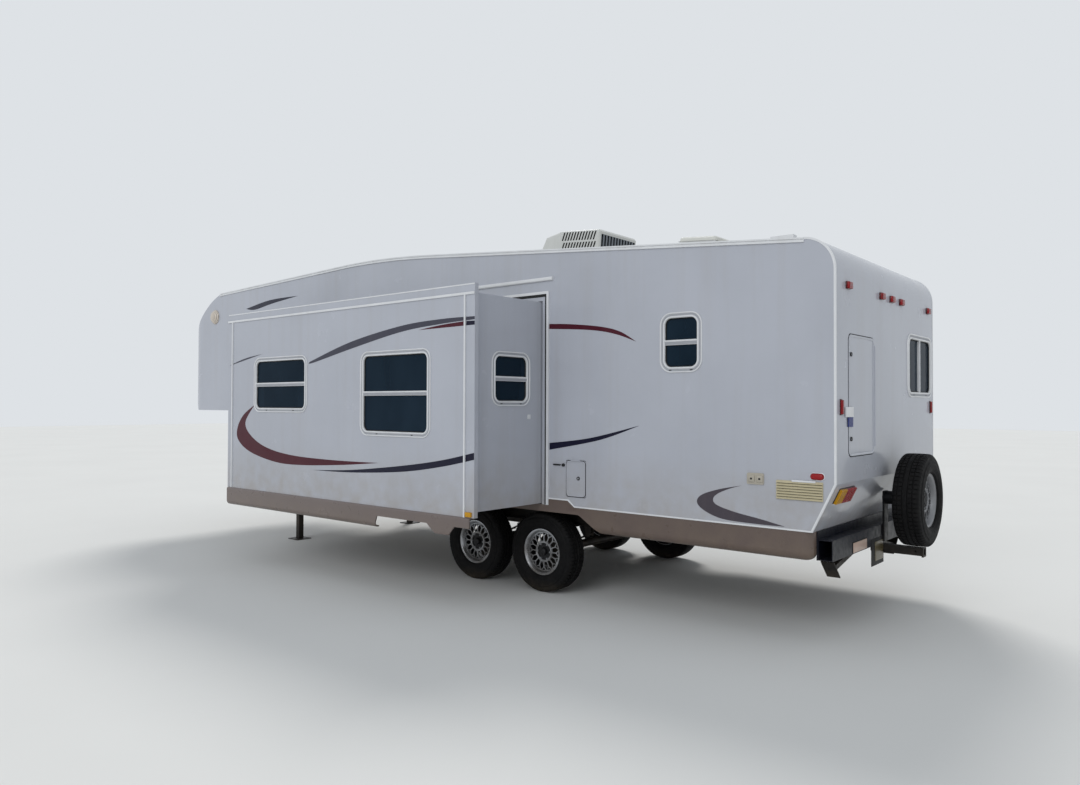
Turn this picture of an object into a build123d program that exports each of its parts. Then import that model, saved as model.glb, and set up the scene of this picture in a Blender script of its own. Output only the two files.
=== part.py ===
from build123d import *
import os
from math import atan, cos, pi, radians, sin, tan

# Travel caravan: a fifth-wheel trailer whose left side carries one room that slides out.
# Millimetres. +X points to the front, +Y to the left side, +Z up. Sizes are measured from
# the rear wall's plane (X 0), the centre plane (Y 0) and the ground (Z 0). At the end the
# whole is moved to the bottom centre of its own box.

# Body shell
HALF_W = 1219
WALL = 40
WALL_BOTTOM = 803
FLOOR_T = 63
BEVEL_H = 342
BEVEL_RUN = 167
ROOF_REAR = 2848
ROOF_SLOPE = 0.0854
ROLL_R = 240
ROOF_BEND_X = 4100
CREST_X = 5400
CREST_RISE = 397
ROOF_END_RISE = 314
NOSE_X = 9088
NOSE_DROP = 548
BROW_RUN = 885
BROW_BULGE = 170
CHIN_RUN = 263
CHIN_BULGE = 42
CAP_LEN = 848
OVERHANG_Z = 1600
LOFT_FLOOR_T = 60
FRONT_X = 6750
CORNER_R = 350
NOSE_EASE = 6

# Rails and mouldings on the walls
RAIL_PROUD = 12
RAIL_H = 34
RAIL_GROOVE = (11, 20)
RAIL_GROOVE_T = 7
RAIL_END_X = (293, 465)
RAIL_END_H = (25, 12)
RAIL_END_W = 50
MOULD_W = 12
MOULD_T = 3
BELT_H = 12
BELT_T = 5
DRIP_LEAD = 75
DRIP_RISE = 120
DRIP_H = 34
DRIP_OUT = 22

# Skirts and the wheel cut-out
SKIRT_T = 12
SKIRT_BOTTOM = 598
SKIRT_TUCK_R = 60
SKIRT_CORNER_R = 80
SKIRT_REACH = 90
ARCH_TOP = 743
ARCH_HALF_FOOT = 1129
ARCH_HALF_TOP = 900
ARCH_R = 90
FLARE_HALF_FOOT = 858
FLARE_HALF_TOP = 785
FLARE_H = 53
FLARE_LAP = 20
FLARE_T = 4

# Wheels
TYRE_R = 359.5
TYRE_W = 225
WHEEL_IN = 169
AXLE_X = 2685
AXLE_SPACING = 838
RIM_SEAT_R = 189.7
RIM_LIP_R = 207
RIM_WELL = 16
RIM_W = 165
RIM_T = 7
RIM_FLANGE = 9
HUB_FACE = 42
HUB_T = 18
HUB_R = 84
WEB_OUT = 8
WEB_T = 14
SPOKE_PAIRS = 16
SPOKE_SLOT = (98, 160)
SPOKE_W = 11
LUGS = 6
LUG_PCD_R = 70
LUG_R = 11
LUG_OUT = 12
CORE_R = 58
SPINDLE_R = 20
BEARING_GAP = 0.3
AXLE_R = 38
DRUM_R = 125
DRUM_W = 50
CAP_R = 36
CAP_OUT = 34

# Slide-out room
SLIDE_OUT = 905
SLIDE_X = (2620, 6290)
SLIDE_FLOOR_GAP = 9
SLIDE_TOP = 2600
SLIDE_INSIDE = 79
FACE_LAP_REAR = 60
FACE_LAP_FRONT = 80
FACE_LAP_BOTTOM = 37
FACE_LAP_TOP = 65
OPENING_GAP = 10
OPENING_TRIM_W = 24
OPENING_TRIM_T = 14
CLEAR = 5
ARM_X = (4500, 5900)
ARM_W = 50
ARM_Z = (640, 715)
ARM_WALL = 5
ARM_LEN = 1300
ARM_PORT_GAP = 10
ARM_PLATE_LAP = 30

# Chassis
RAIL_IN = 210
RAIL_Z = (590, 740)
RAIL_FLANGE = 60
RAIL_T = 8
CHASSIS_END_GAP = 40
CROSS_X = (225, 1250, 2250, 3100, 4050, 5100, 6650)
CROSS_W = 50
CROSS_Z = (660, 720)

# Windows and doors
FRAME_R = 100
FRAME_LAP = 15
SLEEVE_T = 30
FRAME_PROUD = 8
BAR_W = 40
BAR_BACK = 2
GLASS_T = 6
GLASS_IN = 20
DOOR_GLASS_R = 45
REAR_WINDOW_IN = 49
REAR_WINDOW_W = 740
LOFT_WINDOW_HALF = 300
END_WINDOW_OUT = 160
END_WINDOW_W = 488
REAR_HATCH_IN = 239
REAR_HATCH_W = 560
REAR_LATCH_IN = 295
DOOR_GAP = 6
HINGE_END = 60
ENTRY_SILL = 57
HINGE_R = 6
HINGE_SIDES = 10
SEAT_GAP = 0.3
LEAF_T = 2
LEAF_W = 26
KNUCKLE_GAP = 0.5
LATCH_R = 13
LATCH_OUT = 6

BEVEL_TOP = WALL_BOTTOM + BEVEL_H
NOSE_Z = ROOF_REAR - NOSE_DROP
ROOF_CREST = (CREST_X, ROOF_REAR + CREST_RISE)
ROOF_END = (NOSE_X - BROW_RUN, ROOF_REAR + ROOF_END_RISE)
CAP_FOOT_X = NOSE_X - CHIN_RUN
CAP_X = NOSE_X - CAP_LEN
WHEEL_Y = HALF_W - WHEEL_IN
RAIL_Y = WHEEL_Y - RAIL_IN
SLIDE_Z = (WALL_BOTTOM + SLIDE_FLOOR_GAP, SLIDE_TOP)
SLIDE_INNER_Y = HALF_W - SLIDE_INSIDE
FACE_X = (SLIDE_X[0] - FACE_LAP_REAR, SLIDE_X[1] + FACE_LAP_FRONT)
FACE_Z = (SLIDE_Z[0] - FACE_LAP_BOTTOM, SLIDE_Z[1] + FACE_LAP_TOP)
SLIDE_FACE_Y = HALF_W + SLIDE_OUT
SLIDE_BACK_Y = SLIDE_FACE_Y - WALL
SLIDE_TRAVEL = SLIDE_BACK_Y - HALF_W - OPENING_GAP
AXLES_X = (AXLE_X, AXLE_X + AXLE_SPACING)
TANDEM_X = sum(AXLES_X) / 2
LOFT_X = (FRONT_X + CAP_X) / 2
END_WINDOW_Y = HALF_W + END_WINDOW_OUT
REAR_HATCH_Y = HALF_W - REAR_HATCH_IN
ENTRY_X = (4450, 5130)
ENTRY_Z = (WALL_BOTTOM + ENTRY_SILL, 2760)

# Each wall: the axis that it faces, its outer face, and the way out
WALLS = {
    "left": ("Y", HALF_W, 1),
    "right": ("Y", -HALF_W, -1),
    "rear": ("X", 0, -1),
    "front": ("X", FRONT_X, 1),
    "slide_face": ("Y", SLIDE_FACE_Y, 1),
    "slide_rear": ("X", SLIDE_X[0], -1),
}

# Windows: wall, range along it, range of heights, how the two panes lie
WINDOWS = [
    ("left", (1018, 1392), (1940, 2413), "stacked"),
    ("rear", (REAR_WINDOW_IN - HALF_W, REAR_WINDOW_IN + REAR_WINDOW_W - HALF_W), (1760, 2300), "abreast"),
    ("right", (900, 1700), (1700, 2300), "stacked"),
    ("right", (2500, 3700), (1550, 2250), "stacked"),
    ("right", (LOFT_X - LOFT_WINDOW_HALF, LOFT_X + LOFT_WINDOW_HALF), (2150, 2650), "stacked"),
    ("slide_face", (3076, 4026), (1400, 2165), "stacked"),
    ("slide_face", (4867, 5837), (1600, 2173), "stacked"),
    ("slide_rear", (END_WINDOW_Y, END_WINDOW_Y + END_WINDOW_W), (1673, 2138), "stacked"),
]

# Doors: name, wall, range along it, range of heights, hinged edge, corner radius
DOORS = [
    ("rear_hatch", "rear", (REAR_HATCH_Y - REAR_HATCH_W, REAR_HATCH_Y), (1320, 2200), "low", 50),
    ("service_door", "left", (2123, 2340), (890, 1210), "top", 15),
    ("entry_door", "right", ENTRY_X, ENTRY_Z, "high", 60),
    ("storage_door", "right", (5750, 6450), (860, 1360), "top", 20),
    ("front_hatch", "front", (-500, 500), (900, 1480), "top", 20),
]
DOOR_WINDOW = ((4570, 5010), (1900, 2550))

# Round latches: door, place along the wall, height
LATCHES = [
    ("rear_hatch", HALF_W - REAR_LATCH_IN, 2051),
    ("rear_hatch", HALF_W - REAR_LATCH_IN, 1449),
    ("service_door", 2204, 1055),
    ("storage_door", 5850, 930),
    ("storage_door", 6350, 930),
    ("front_hatch", -400, 970),
    ("front_hatch", 400, 970),
]

PANEL_AXES = {
    "X": ((0, 1, 0), (1, 0, 0)),
    "Y": ((1, 0, 0), (0, 1, 0)),
    "Z": ((1, 0, 0), (0, 0, 1)),
}


def middle(span):
    return (span[0] + span[1]) / 2


def length(span):
    return span[1] - span[0]


def shrink(span, by):
    return (span[0] + by, span[1] - by)


def around(centre, half):
    return (centre - half, centre + half)


def block(x, y, z):
    """A box from its low and high side along each axis."""
    return Pos(middle(x), middle(y), middle(z)) * Box(length(x), length(y), length(z))


def panel(axis, u, v, w, radius=0):
    """A plate with rounded corners: u and v are its ranges, w runs through its thickness."""
    x_dir, out = PANEL_AXES[axis]
    origin = {
        "X": (w[0], middle(u), middle(v)),
        "Y": (middle(u), w[0], middle(v)),
        "Z": (middle(u), middle(v), w[0]),
    }[axis]
    size = (length(u), length(v))
    outline = RectangleRounded(*size, radius) if radius else Rectangle(*size)
    return extrude(Plane(origin, x_dir, out) * outline, amount=length(w), dir=out)


def on_wall(wall, u, v, inner, outer, radius=0):
    """A plate on a wall, from inner to outer, both counted outwards from its outer face."""
    axis, face, sign = WALLS[wall]
    w = sorted((face + sign * inner, face + sign * outer))
    return panel(axis, u, v, w, radius)


def rod(start, end, radius, sides=0):
    """A bar between two points, round or with flat sides."""
    along = Vector(*end) - Vector(*start)
    section = RegularPolygon(radius, sides) if sides else Circle(radius)
    return extrude(Plane(start, z_dir=along) * section, amount=along.length, dir=along)


def side_outline(points, y):
    """A plate with the given outline of X and Z points, from y[0] to y[1]."""
    face = Plane.XZ * make_face(Polyline(*points, close=True))
    return Pos(0, y[0], 0) * extrude(face, amount=length(y), dir=(0, 1, 0))


def fuse(shapes):
    whole = shapes[0]
    for shape in shapes[1:]:
        whole += shape
    return whole


def both_sides(shape):
    return [shape, mirror(shape, Plane.XZ)]


# Shell: one side outline, cut into the real panels

def shell_face(bottom):
    """The body's side outline. The rear bevel runs on down to the given height."""
    bevel_slope = BEVEL_RUN / BEVEL_H
    foot = (bevel_slope * (BEVEL_TOP - bottom), bottom)
    lean = atan(ROOF_SLOPE)
    run = ROLL_R * tan((pi / 2 - lean) / 2)
    roll_start = (0, ROOF_REAR - run)
    roll_end = (run * cos(lean), ROOF_REAR + run * sin(lean))
    bend = (ROOF_BEND_X, ROOF_REAR + ROOF_SLOPE * ROOF_BEND_X)
    nose = (NOSE_X, NOSE_Z)
    cap_foot = (CAP_FOOT_X, OVERHANG_Z)
    roll = TangentArc(roll_start, roll_end, tangent=(0, 1))
    rise = Line(roll_end, bend)
    crest = TangentArc(bend, ROOF_CREST, tangent=rise % 1)
    fall = Line(ROOF_CREST, ROOF_END)
    brow = SagittaArc(ROOF_END, nose, BROW_BULGE)
    chin = SagittaArc(nose, cap_foot, CHIN_BULGE)
    rest = Polyline(cap_foot, (FRONT_X, OVERHANG_Z), (FRONT_X, bottom), foot, (0, BEVEL_TOP), roll_start)
    return make_face([roll, rise, crest, fall, brow, chin, rest])


def roll_end_x():
    lean = atan(ROOF_SLOPE)
    return ROLL_R * tan((pi / 2 - lean) / 2) * cos(lean)


def roof_plane(x, y=0):
    """A plane that lies on the straight rear stretch of the roof."""
    lean = atan(ROOF_SLOPE)
    return Plane((x, y, ROOF_REAR + ROOF_SLOPE * x), (cos(lean), 0, sin(lean)), (-sin(lean), 0, cos(lean)))


def swept_shell(inset, half_width, bottom):
    """The outline, drawn in by inset, across the given half width."""
    face = shell_face(bottom)
    if inset:
        face = offset(face, -inset, kind=Kind.INTERSECTION)
    return extrude(Plane.XZ * face, amount=half_width, both=True)


SHELL_DROP = 100
TALL = (WALL_BOTTOM, 2 * ROOF_REAR)
outer_shell = swept_shell(0, HALF_W, WALL_BOTTOM)
inner_core = swept_shell(WALL, HALF_W - WALL, WALL_BOTTOM - SHELL_DROP)


def window_cut(wall, u, v):
    """The hole in the wall that a window's sleeve fills."""
    return on_wall(wall, shrink(u, FRAME_LAP), shrink(v, FRAME_LAP), -WALL - 1, 1, FRAME_R - FRAME_LAP)


def window_frame(wall, u, v, panes):
    """A rounded frame: a flange on the wall, a sleeve through it and the bar between the panes."""
    lip = on_wall(wall, u, v, 0, FRAME_PROUD, FRAME_R)
    sleeve_u, sleeve_v = shrink(u, FRAME_LAP), shrink(v, FRAME_LAP)
    sleeve = on_wall(wall, sleeve_u, sleeve_v, -WALL, 0, FRAME_R - FRAME_LAP)
    hole_u, hole_v = shrink(sleeve_u, SLEEVE_T), shrink(sleeve_v, SLEEVE_T)
    hole = on_wall(wall, hole_u, hole_v, -WALL - 1, FRAME_PROUD + 1, FRAME_R - FRAME_LAP - SLEEVE_T)
    return lip + sleeve - hole + window_bar(wall, hole_u, hole_v, panes, FRAME_PROUD - BAR_BACK)


def window_bar(wall, u, v, panes, outer):
    if panes == "stacked":
        return on_wall(wall, u, around(middle(v), BAR_W / 2), -WALL, outer)
    return on_wall(wall, around(middle(u), BAR_W / 2), v, -WALL, outer)


def window_glass(wall, u, v, panes):
    """The two panes, inside the sleeve and against the bar."""
    inset = FRAME_LAP + SLEEVE_T
    hole_u, hole_v = shrink(u, inset), shrink(v, inset)
    sheet = on_wall(wall, hole_u, hole_v, -GLASS_IN, GLASS_T - GLASS_IN, FRAME_R - inset)
    return list((sheet - window_bar(wall, hole_u, hole_v, panes, 1)).solids())


def door_cut(wall, u, v, radius):
    return on_wall(wall, u, v, -WALL - 1, 1, radius)


def cut_openings(skin, wall):
    """Cut a wall's windows and doors."""
    for on, u, v, _ in WINDOWS:
        if on == wall:
            skin -= window_cut(wall, u, v)
    for _, on, u, v, _, radius in DOORS:
        if on == wall:
            skin -= door_cut(wall, u, v, radius)
    return skin


def side_wall(wall):
    """One side wall, as far forward as the nose cap, with its windows and doors cut."""
    sign = WALLS[wall][2]
    y = sorted((sign * (HALF_W - WALL), sign * HALF_W))
    skin = cut_openings(outer_shell & block((-10, CAP_X), y, (WALL_BOTTOM - 1, TALL[1])), wall)
    if wall == "left":
        x, z = shrink(SLIDE_X, -OPENING_GAP), (WALL_BOTTOM - 1, SLIDE_Z[1] + OPENING_GAP)
        skin -= block(x, (y[0] - 1, y[1] + 1), z)
    return skin


def ring(x, z):
    """A stretch of the shell between the side walls."""
    return (outer_shell & block(x, around(0, HALF_W - WALL), z)) - inner_core


def rear_panel():
    return cut_openings(ring((-10, roll_end_x()), TALL), "rear")


def front_wall():
    skin = block((FRONT_X - WALL, FRONT_X), around(0, HALF_W - WALL), (WALL_BOTTOM, OVERHANG_Z))
    return cut_openings(skin, "front")


def nose_plan(inset):
    """An upright block whose front corners have the cap's plan radius."""
    box = block((FRONT_X, NOSE_X - inset + NOSE_EASE), around(0, HALF_W - inset), (WALL_BOTTOM, TALL[1]))
    return fillet(box.edges().filter_by(Axis.Z).group_by(Axis.X)[-1], CORNER_R - inset)


def nose_cap():
    """The moulded cap: the side outline and a plan with round corners, hollow and open behind."""
    stretch = block((CAP_X, NOSE_X), around(0, HALF_W), TALL)
    return (outer_shell & nose_plan(0) & stretch) - (inner_core & nose_plan(WALL))


# Roof vent
VENT_X = 1303
VENT_Y = 628
VENT_SIDE = 320
VENT_WALL = 14
VENT_H = 90
VENT_LID_H = 34
VENT_LAP = 12
VENT_R = 30
VENT_KNUCKLE = 60


def vent_box(side, low, high, radius=0):
    outline = RectangleRounded(side, side, radius) if radius else Rectangle(side, side)
    plane = roof_plane(VENT_X, VENT_Y).offset(low)
    return extrude(plane * outline, amount=high - low, dir=plane.z_dir)


def roof_panel():
    skin = ring((roll_end_x(), CAP_X), (NOSE_Z, TALL[1]))
    return skin - vent_box(VENT_SIDE - 2 * VENT_WALL, -2 * WALL, WALL)


def vent_point(x, y, z):
    """A point given along the roof, across it and above it, from the vent's middle."""
    return tuple(roof_plane(VENT_X, VENT_Y).from_local_coords(Vector(x, y, z)))


def vent_axis_x():
    """The lid's hinge lies just in front of its front edge."""
    return VENT_SIDE / 2 + VENT_LAP + HINGE_R + 1


def vent_knuckle(y, towards, z):
    """One knuckle on the hinge's axis, with a leaf back to what carries it."""
    knuckle = rod(vent_point(vent_axis_x(), y[0], VENT_H), vent_point(vent_axis_x(), y[1], VENT_H),
                  HINGE_R, HINGE_SIDES)
    span = (towards, vent_axis_x())
    plane = roof_plane(VENT_X, VENT_Y)
    leaf = plane.location * block(span, y, z)
    return knuckle + leaf


def vent_base():
    """The collar on the roof, with the hinge's two fixed knuckles."""
    collar = vent_box(VENT_SIDE, 0, VENT_H) - vent_box(VENT_SIDE - 2 * VENT_WALL, -1, VENT_H + 1)
    for side in (-1, 1):
        far = side * VENT_SIDE / 2
        near = far - side * VENT_KNUCKLE
        collar += vent_knuckle(sorted((near, far)), VENT_SIDE / 2 - 1, (VENT_H - 14, VENT_H - 4))
    return collar


def vent_lid():
    """A shallow tray upside down, on the vent's collar, with its own knuckle between the fixed ones."""
    side = VENT_SIDE + 2 * VENT_LAP
    tray = vent_box(side, VENT_H + SEAT_GAP, VENT_H + VENT_LID_H, VENT_R)
    tray = chamfer(tray.faces().sort_by(Axis.Z)[-1].edges(), VENT_LID_H / 3)
    reach = VENT_SIDE / 2 - VENT_KNUCKLE - KNUCKLE_GAP
    return tray + vent_knuckle((-reach, reach), side / 2 - HINGE_R, (VENT_H + SEAT_GAP, VENT_H + HINGE_R))


def vent_hinge_line():
    return [vent_point(vent_axis_x(), end, VENT_H) for end in (-VENT_SIDE / 2, VENT_SIDE / 2)]


# Hinges

def hinge_line(wall, u, v, edge):
    """The hinge's two ends, on the middle of the door's gap and just outside the wall."""
    axis, face, sign = WALLS[wall]
    out = face + sign * (HINGE_R + SEAT_GAP)
    if edge == "top":
        ends = [(along, v[1] - DOOR_GAP / 2) for along in shrink(u, HINGE_END)]
    else:
        along = u[0] + DOOR_GAP / 2 if edge == "low" else u[1] - DOOR_GAP / 2
        ends = [(along, height) for height in shrink(v, HINGE_END)]
    if axis == "X":
        return [(out, along, height) for along, height in ends]
    return [(along, out, height) for along, height in ends]


def hinge(wall, u, v, edge):
    """A hinge in three knuckles: the middle one turns with the door, the outer two are fixed."""
    start, end = (Vector(*p) for p in hinge_line(wall, u, v, edge))
    along = (end - start).normalized()
    total = (end - start).length
    cuts = (0, total / 4, total * 3 / 4, total)
    barrels = []
    for low, high in zip(cuts[:-1], cuts[1:]):
        a = start + along * (low + KNUCKLE_GAP / 2)
        b = start + along * (high - KNUCKLE_GAP / 2)
        moving = low == cuts[1]
        knuckle = rod(tuple(a), tuple(b), HINGE_R, HINGE_SIDES)
        barrels.append((knuckle + hinge_leaf(wall, a, b, edge, moving), moving))
    fixed = [shape for shape, moving in barrels if not moving]
    turning = [shape for shape, moving in barrels if moving][0]
    return fixed, turning


def hinge_leaf(wall, a, b, edge, moving):
    """The leaf of one knuckle, flat on the door or on the wall beside it."""
    if WALLS[wall][0] == "X":
        u, v = sorted((a.Y, b.Y)), sorted((a.Z, b.Z))
    else:
        u, v = sorted((a.X, b.X)), sorted((a.Z, b.Z))
    towards_door = {"top": -1, "low": 1, "high": -1}[edge] * (1 if moving else -1)
    if edge == "top":
        v = sorted((v[0], v[0] + towards_door * LEAF_W))
    else:
        u = sorted((u[0], u[0] + towards_door * LEAF_W))
    return on_wall(wall, u, v, 0, LEAF_T)


# Doors
HANDLE_X = (ENTRY_X[0] + 30, ENTRY_X[0] + 120)
HANDLE_Z = (1560, 1680)
HANDLE_OUT = 22


def door_panel(name, wall, u, v, radius):
    """The whole thickness of the wall, less the gap round it, with its latches."""
    leaf = on_wall(wall, shrink(u, DOOR_GAP), shrink(v, DOOR_GAP), -WALL, 0, radius - DOOR_GAP)
    for door, along, height in LATCHES:
        if door == name:
            leaf += on_wall(wall, around(along, LATCH_R), around(height, LATCH_R), 0, LATCH_OUT, LATCH_R - 1)
    if name == "entry_door":
        leaf -= on_wall(wall, *DOOR_WINDOW, -WALL - 1, 1, DOOR_GLASS_R)
        leaf += on_wall(wall, HANDLE_X, HANDLE_Z, 0, HANDLE_OUT, LATCH_R)
    return leaf


def doors():
    """Each door's moving panel with its knuckle, and all fixed leaves."""
    moving, fixed = {}, []
    for name, wall, u, v, edge, radius in DOORS:
        still, turning = hinge(wall, u, v, edge)
        moving[name] = door_panel(name, wall, u, v, radius) + turning
        fixed += still
    return moving, fixed


# Skirts and floors

def skirt_tub(inset):
    """The skirts' outer shape, drawn in: round at the rear corners and turned under at the foot."""
    tub = block((BEVEL_RUN + inset, FRONT_X), around(0, HALF_W - inset), (SKIRT_BOTTOM + inset, WALL_BOTTOM))
    tub = fillet(tub.edges().filter_by(Axis.Z).group_by(Axis.X)[0], SKIRT_CORNER_R - inset)
    foot = tub.faces().sort_by(Axis.Z)[0]
    front = foot.edges().sort_by(Axis.X)[-1]
    turned = [edge for edge in foot.edges() if edge.center() != front.center()]
    return fillet(turned, SKIRT_TUCK_R - inset)


def floors():
    """The main floor between the skirts, and the raised floor of the overhang."""
    layer = block((BEVEL_RUN, FRONT_X), around(0, HALF_W), (WALL_BOTTOM - FLOOR_T, WALL_BOTTOM))
    raised = block((FRONT_X - WALL, CAP_X), around(0, HALF_W - WALL), (OVERHANG_Z, OVERHANG_Z + LOFT_FLOOR_T))
    return [skirt_tub(SKIRT_T) & layer, raised]


def skirts():
    """A painted skirt on each side with the long wheel cut-out, and the slide's arm ports."""
    strip = (HALF_W - SKIRT_REACH, HALF_W + 1)
    reach = block((BEVEL_RUN, FRONT_X), strip, (SKIRT_BOTTOM, WALL_BOTTOM))
    plate = (skirt_tub(0) - skirt_tub(SKIRT_T)) & reach
    foot, top = ARCH_HALF_FOOT, ARCH_HALF_TOP
    cut = side_outline(
        [(TANDEM_X - foot, SKIRT_BOTTOM - 1), (TANDEM_X - top, ARCH_TOP),
         (TANDEM_X + top, ARCH_TOP), (TANDEM_X + foot, SKIRT_BOTTOM - 1)],
        (strip[0] - 1, strip[1]),
    )
    plate -= fillet(cut.edges().filter_by(Axis.Y).group_by(Axis.Z)[-1], ARCH_R)
    left = plate + (arch_flare() & block((0, opening_trim_x()[0]), strip_of(FLARE_T), TALL_SKIRT))
    right = mirror(plate + arch_flare(), Plane.XZ)
    for x in ARM_X:
        left -= arm_port(x, strip)
    return [left, right]


TALL_SKIRT = (SKIRT_BOTTOM, WALL_BOTTOM + FLARE_H)


def strip_of(thickness):
    """The range of Y just outside the left wall."""
    return (HALF_W, HALF_W + thickness)


def arch_flare():
    """The skirt's paint steps up the wall over the wheels, on a thin plate."""
    low, high = WALL_BOTTOM - FLARE_LAP, WALL_BOTTOM + FLARE_H
    return side_outline(
        [(TANDEM_X - FLARE_HALF_FOOT, low), (TANDEM_X - FLARE_HALF_FOOT, WALL_BOTTOM),
         (TANDEM_X - FLARE_HALF_TOP, high), (TANDEM_X + FLARE_HALF_TOP, high),
         (TANDEM_X + FLARE_HALF_FOOT, WALL_BOTTOM), (TANDEM_X + FLARE_HALF_FOOT, low)],
        strip_of(FLARE_T))


def arm_port(x, y):
    return block(around(x, ARM_W / 2 + ARM_PORT_GAP), (y[0] - 1, y[1] + 1), shrink(ARM_Z, -ARM_PORT_GAP))


# Rails and mouldings

def opening_trim_x():
    """The outer edges of the trim at the sides of the slide's opening."""
    return shrink(FACE_X, -CLEAR - OPENING_TRIM_W)


def corner_moulding():
    """An angle that follows the left rear corner, round the roll and down the bevel."""
    proud = offset(shell_face(WALL_BOTTOM), MOULD_T, kind=Kind.INTERSECTION)
    band = extrude(Plane.XZ * proud, amount=HALF_W + MOULD_T, both=True)
    band &= block((-MOULD_T, roll_end_x()), (HALF_W - MOULD_W, HALF_W + MOULD_T), (WALL_BOTTOM, TALL[1]))
    return band - outer_shell - swept_shell(MOULD_W, HALF_W + MOULD_T + 1, 0)


def edge_rail():
    """The grooved rail along the left edge of the roof."""
    outer = swept_shell(0, HALF_W + RAIL_PROUD, WALL_BOTTOM)
    rail_y = strip_of(RAIL_PROUD)
    edge = outer & block((roll_end_x(), CAP_X), rail_y, (NOSE_Z + WALL, TALL[1]))
    edge -= swept_shell(RAIL_H, HALF_W + RAIL_PROUD + 1, WALL_BOTTOM)
    high, low = (swept_shell(inset, HALF_W + RAIL_PROUD + 1, WALL_BOTTOM) for inset in RAIL_GROOVE)
    groove = (high - low) & block((0, CAP_X), (rail_y[1] - RAIL_GROOVE_T, rail_y[1] + 1), TALL)
    return edge - groove + rail_end()


def rail_end():
    """The wedge that closes the rail's rear end, on the roof's edge."""
    foot = [(x, ROOF_REAR + ROOF_SLOPE * x) for x in RAIL_END_X]
    top = [(x, z + rise) for (x, z), rise in zip(foot, RAIL_END_H)]
    return side_outline(foot + top[::-1], (HALF_W - RAIL_END_W, HALF_W + RAIL_PROUD))


def belt(x, low):
    """A length of the white moulding along the skirt's top."""
    return block(x, strip_of(BELT_T), (low, low + BELT_H))


def belt_over_flare(end):
    """The moulding climbs the flare's slope and runs on along its top."""
    low, high = WALL_BOTTOM, WALL_BOTTOM + FLARE_H
    foot, top = TANDEM_X - FLARE_HALF_FOOT, TANDEM_X - FLARE_HALF_TOP
    outline = [(foot - BELT_H, low), (top - BELT_H, high + BELT_H), (end, high + BELT_H), (end, high),
               (top, high), (foot, low)]
    return side_outline(outline, strip_of(BELT_T))


def gutter_rails():
    """Rails along the roof, mouldings at the rear corners and over the skirts, and the slide's drip rail."""
    foot = TANDEM_X - FLARE_HALF_FOOT
    start = BEVEL_RUN + MOULD_W / 2
    upper = edge_rail() + corner_moulding()
    left_end = opening_trim_x()[0]
    left = upper + belt((start, foot), WALL_BOTTOM) + belt_over_flare(left_end)
    ahead = mirror(belt_over_flare(TANDEM_X), Plane((TANDEM_X, 0, 0), z_dir=(1, 0, 0)))
    far_foot = TANDEM_X + FLARE_HALF_FOOT
    right = upper + belt((start, foot), WALL_BOTTOM) + belt_over_flare(TANDEM_X) + ahead
    right += belt((far_foot, FRONT_X), WALL_BOTTOM)
    front = belt((opening_trim_x()[1], FRONT_X), WALL_BOTTOM)
    drip_z = FACE_Z[1] + DRIP_RISE
    drip = block(shrink(FACE_X, -DRIP_LEAD), strip_of(DRIP_OUT), (drip_z, drip_z + DRIP_H))
    drip = fillet(drip.edges().filter_by(Axis.X).group_by(Axis.Y)[-1], DRIP_H / 3)
    return [left, mirror(right, Plane.XZ), front, drip]


def opening_trim():
    """Three lengths of trim round the slide's opening, just outside the closed face."""
    x, top = shrink(FACE_X, -CLEAR), FACE_Z[1] + CLEAR
    outer = opening_trim_x()
    y = strip_of(OPENING_TRIM_T)
    rear = block((outer[0], x[0]), y, (WALL_BOTTOM, top))
    front = block((x[1], outer[1]), y, (WALL_BOTTOM, top))
    head = block(outer, y, (top, top + OPENING_TRIM_W))
    return rear + head + front


# Chassis and what hangs on it
APRON_T = 8
BUMPER_D = 102
BUMPER_Z = (600, 745)
BUMPER_HALF = 1130
BUMPER_WALL = 5
BUMPER_X = (BEVEL_RUN - APRON_T - BUMPER_D, BEVEL_RUN - APRON_T)
CHASSIS_X = (BUMPER_X[1], FRONT_X - CHASSIS_END_GAP)


def rail(y):
    """An I-beam along the body."""
    flange = around(y, RAIL_FLANGE / 2)
    web = block(CHASSIS_X, around(y, RAIL_T / 2), RAIL_Z)
    low = block(CHASSIS_X, flange, (RAIL_Z[0], RAIL_Z[0] + RAIL_T))
    high = block(CHASSIS_X, flange, (RAIL_Z[1] - RAIL_T, RAIL_Z[1]))
    return web + low + high


def chassis():
    """Two rails with cross members between their webs, and ports for the slide's arms."""
    frame = rail(RAIL_Y) + rail(-RAIL_Y)
    for x in CROSS_X:
        frame += block(around(x, CROSS_W / 2), (-RAIL_Y, RAIL_Y), CROSS_Z)
    for x in ARM_X:
        frame -= arm_port(x, (RAIL_Y - RAIL_FLANGE, RAIL_Y + RAIL_FLANGE))
        frame += wear_pad(x)
    return frame


def wear_pad(x):
    """The pad in a port that carries the slide's arm."""
    return block(around(x, ARM_W / 2), around(RAIL_Y, RAIL_FLANGE / 2),
                 (ARM_Z[0] - ARM_PORT_GAP, ARM_Z[0] - SEAT_GAP))


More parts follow.
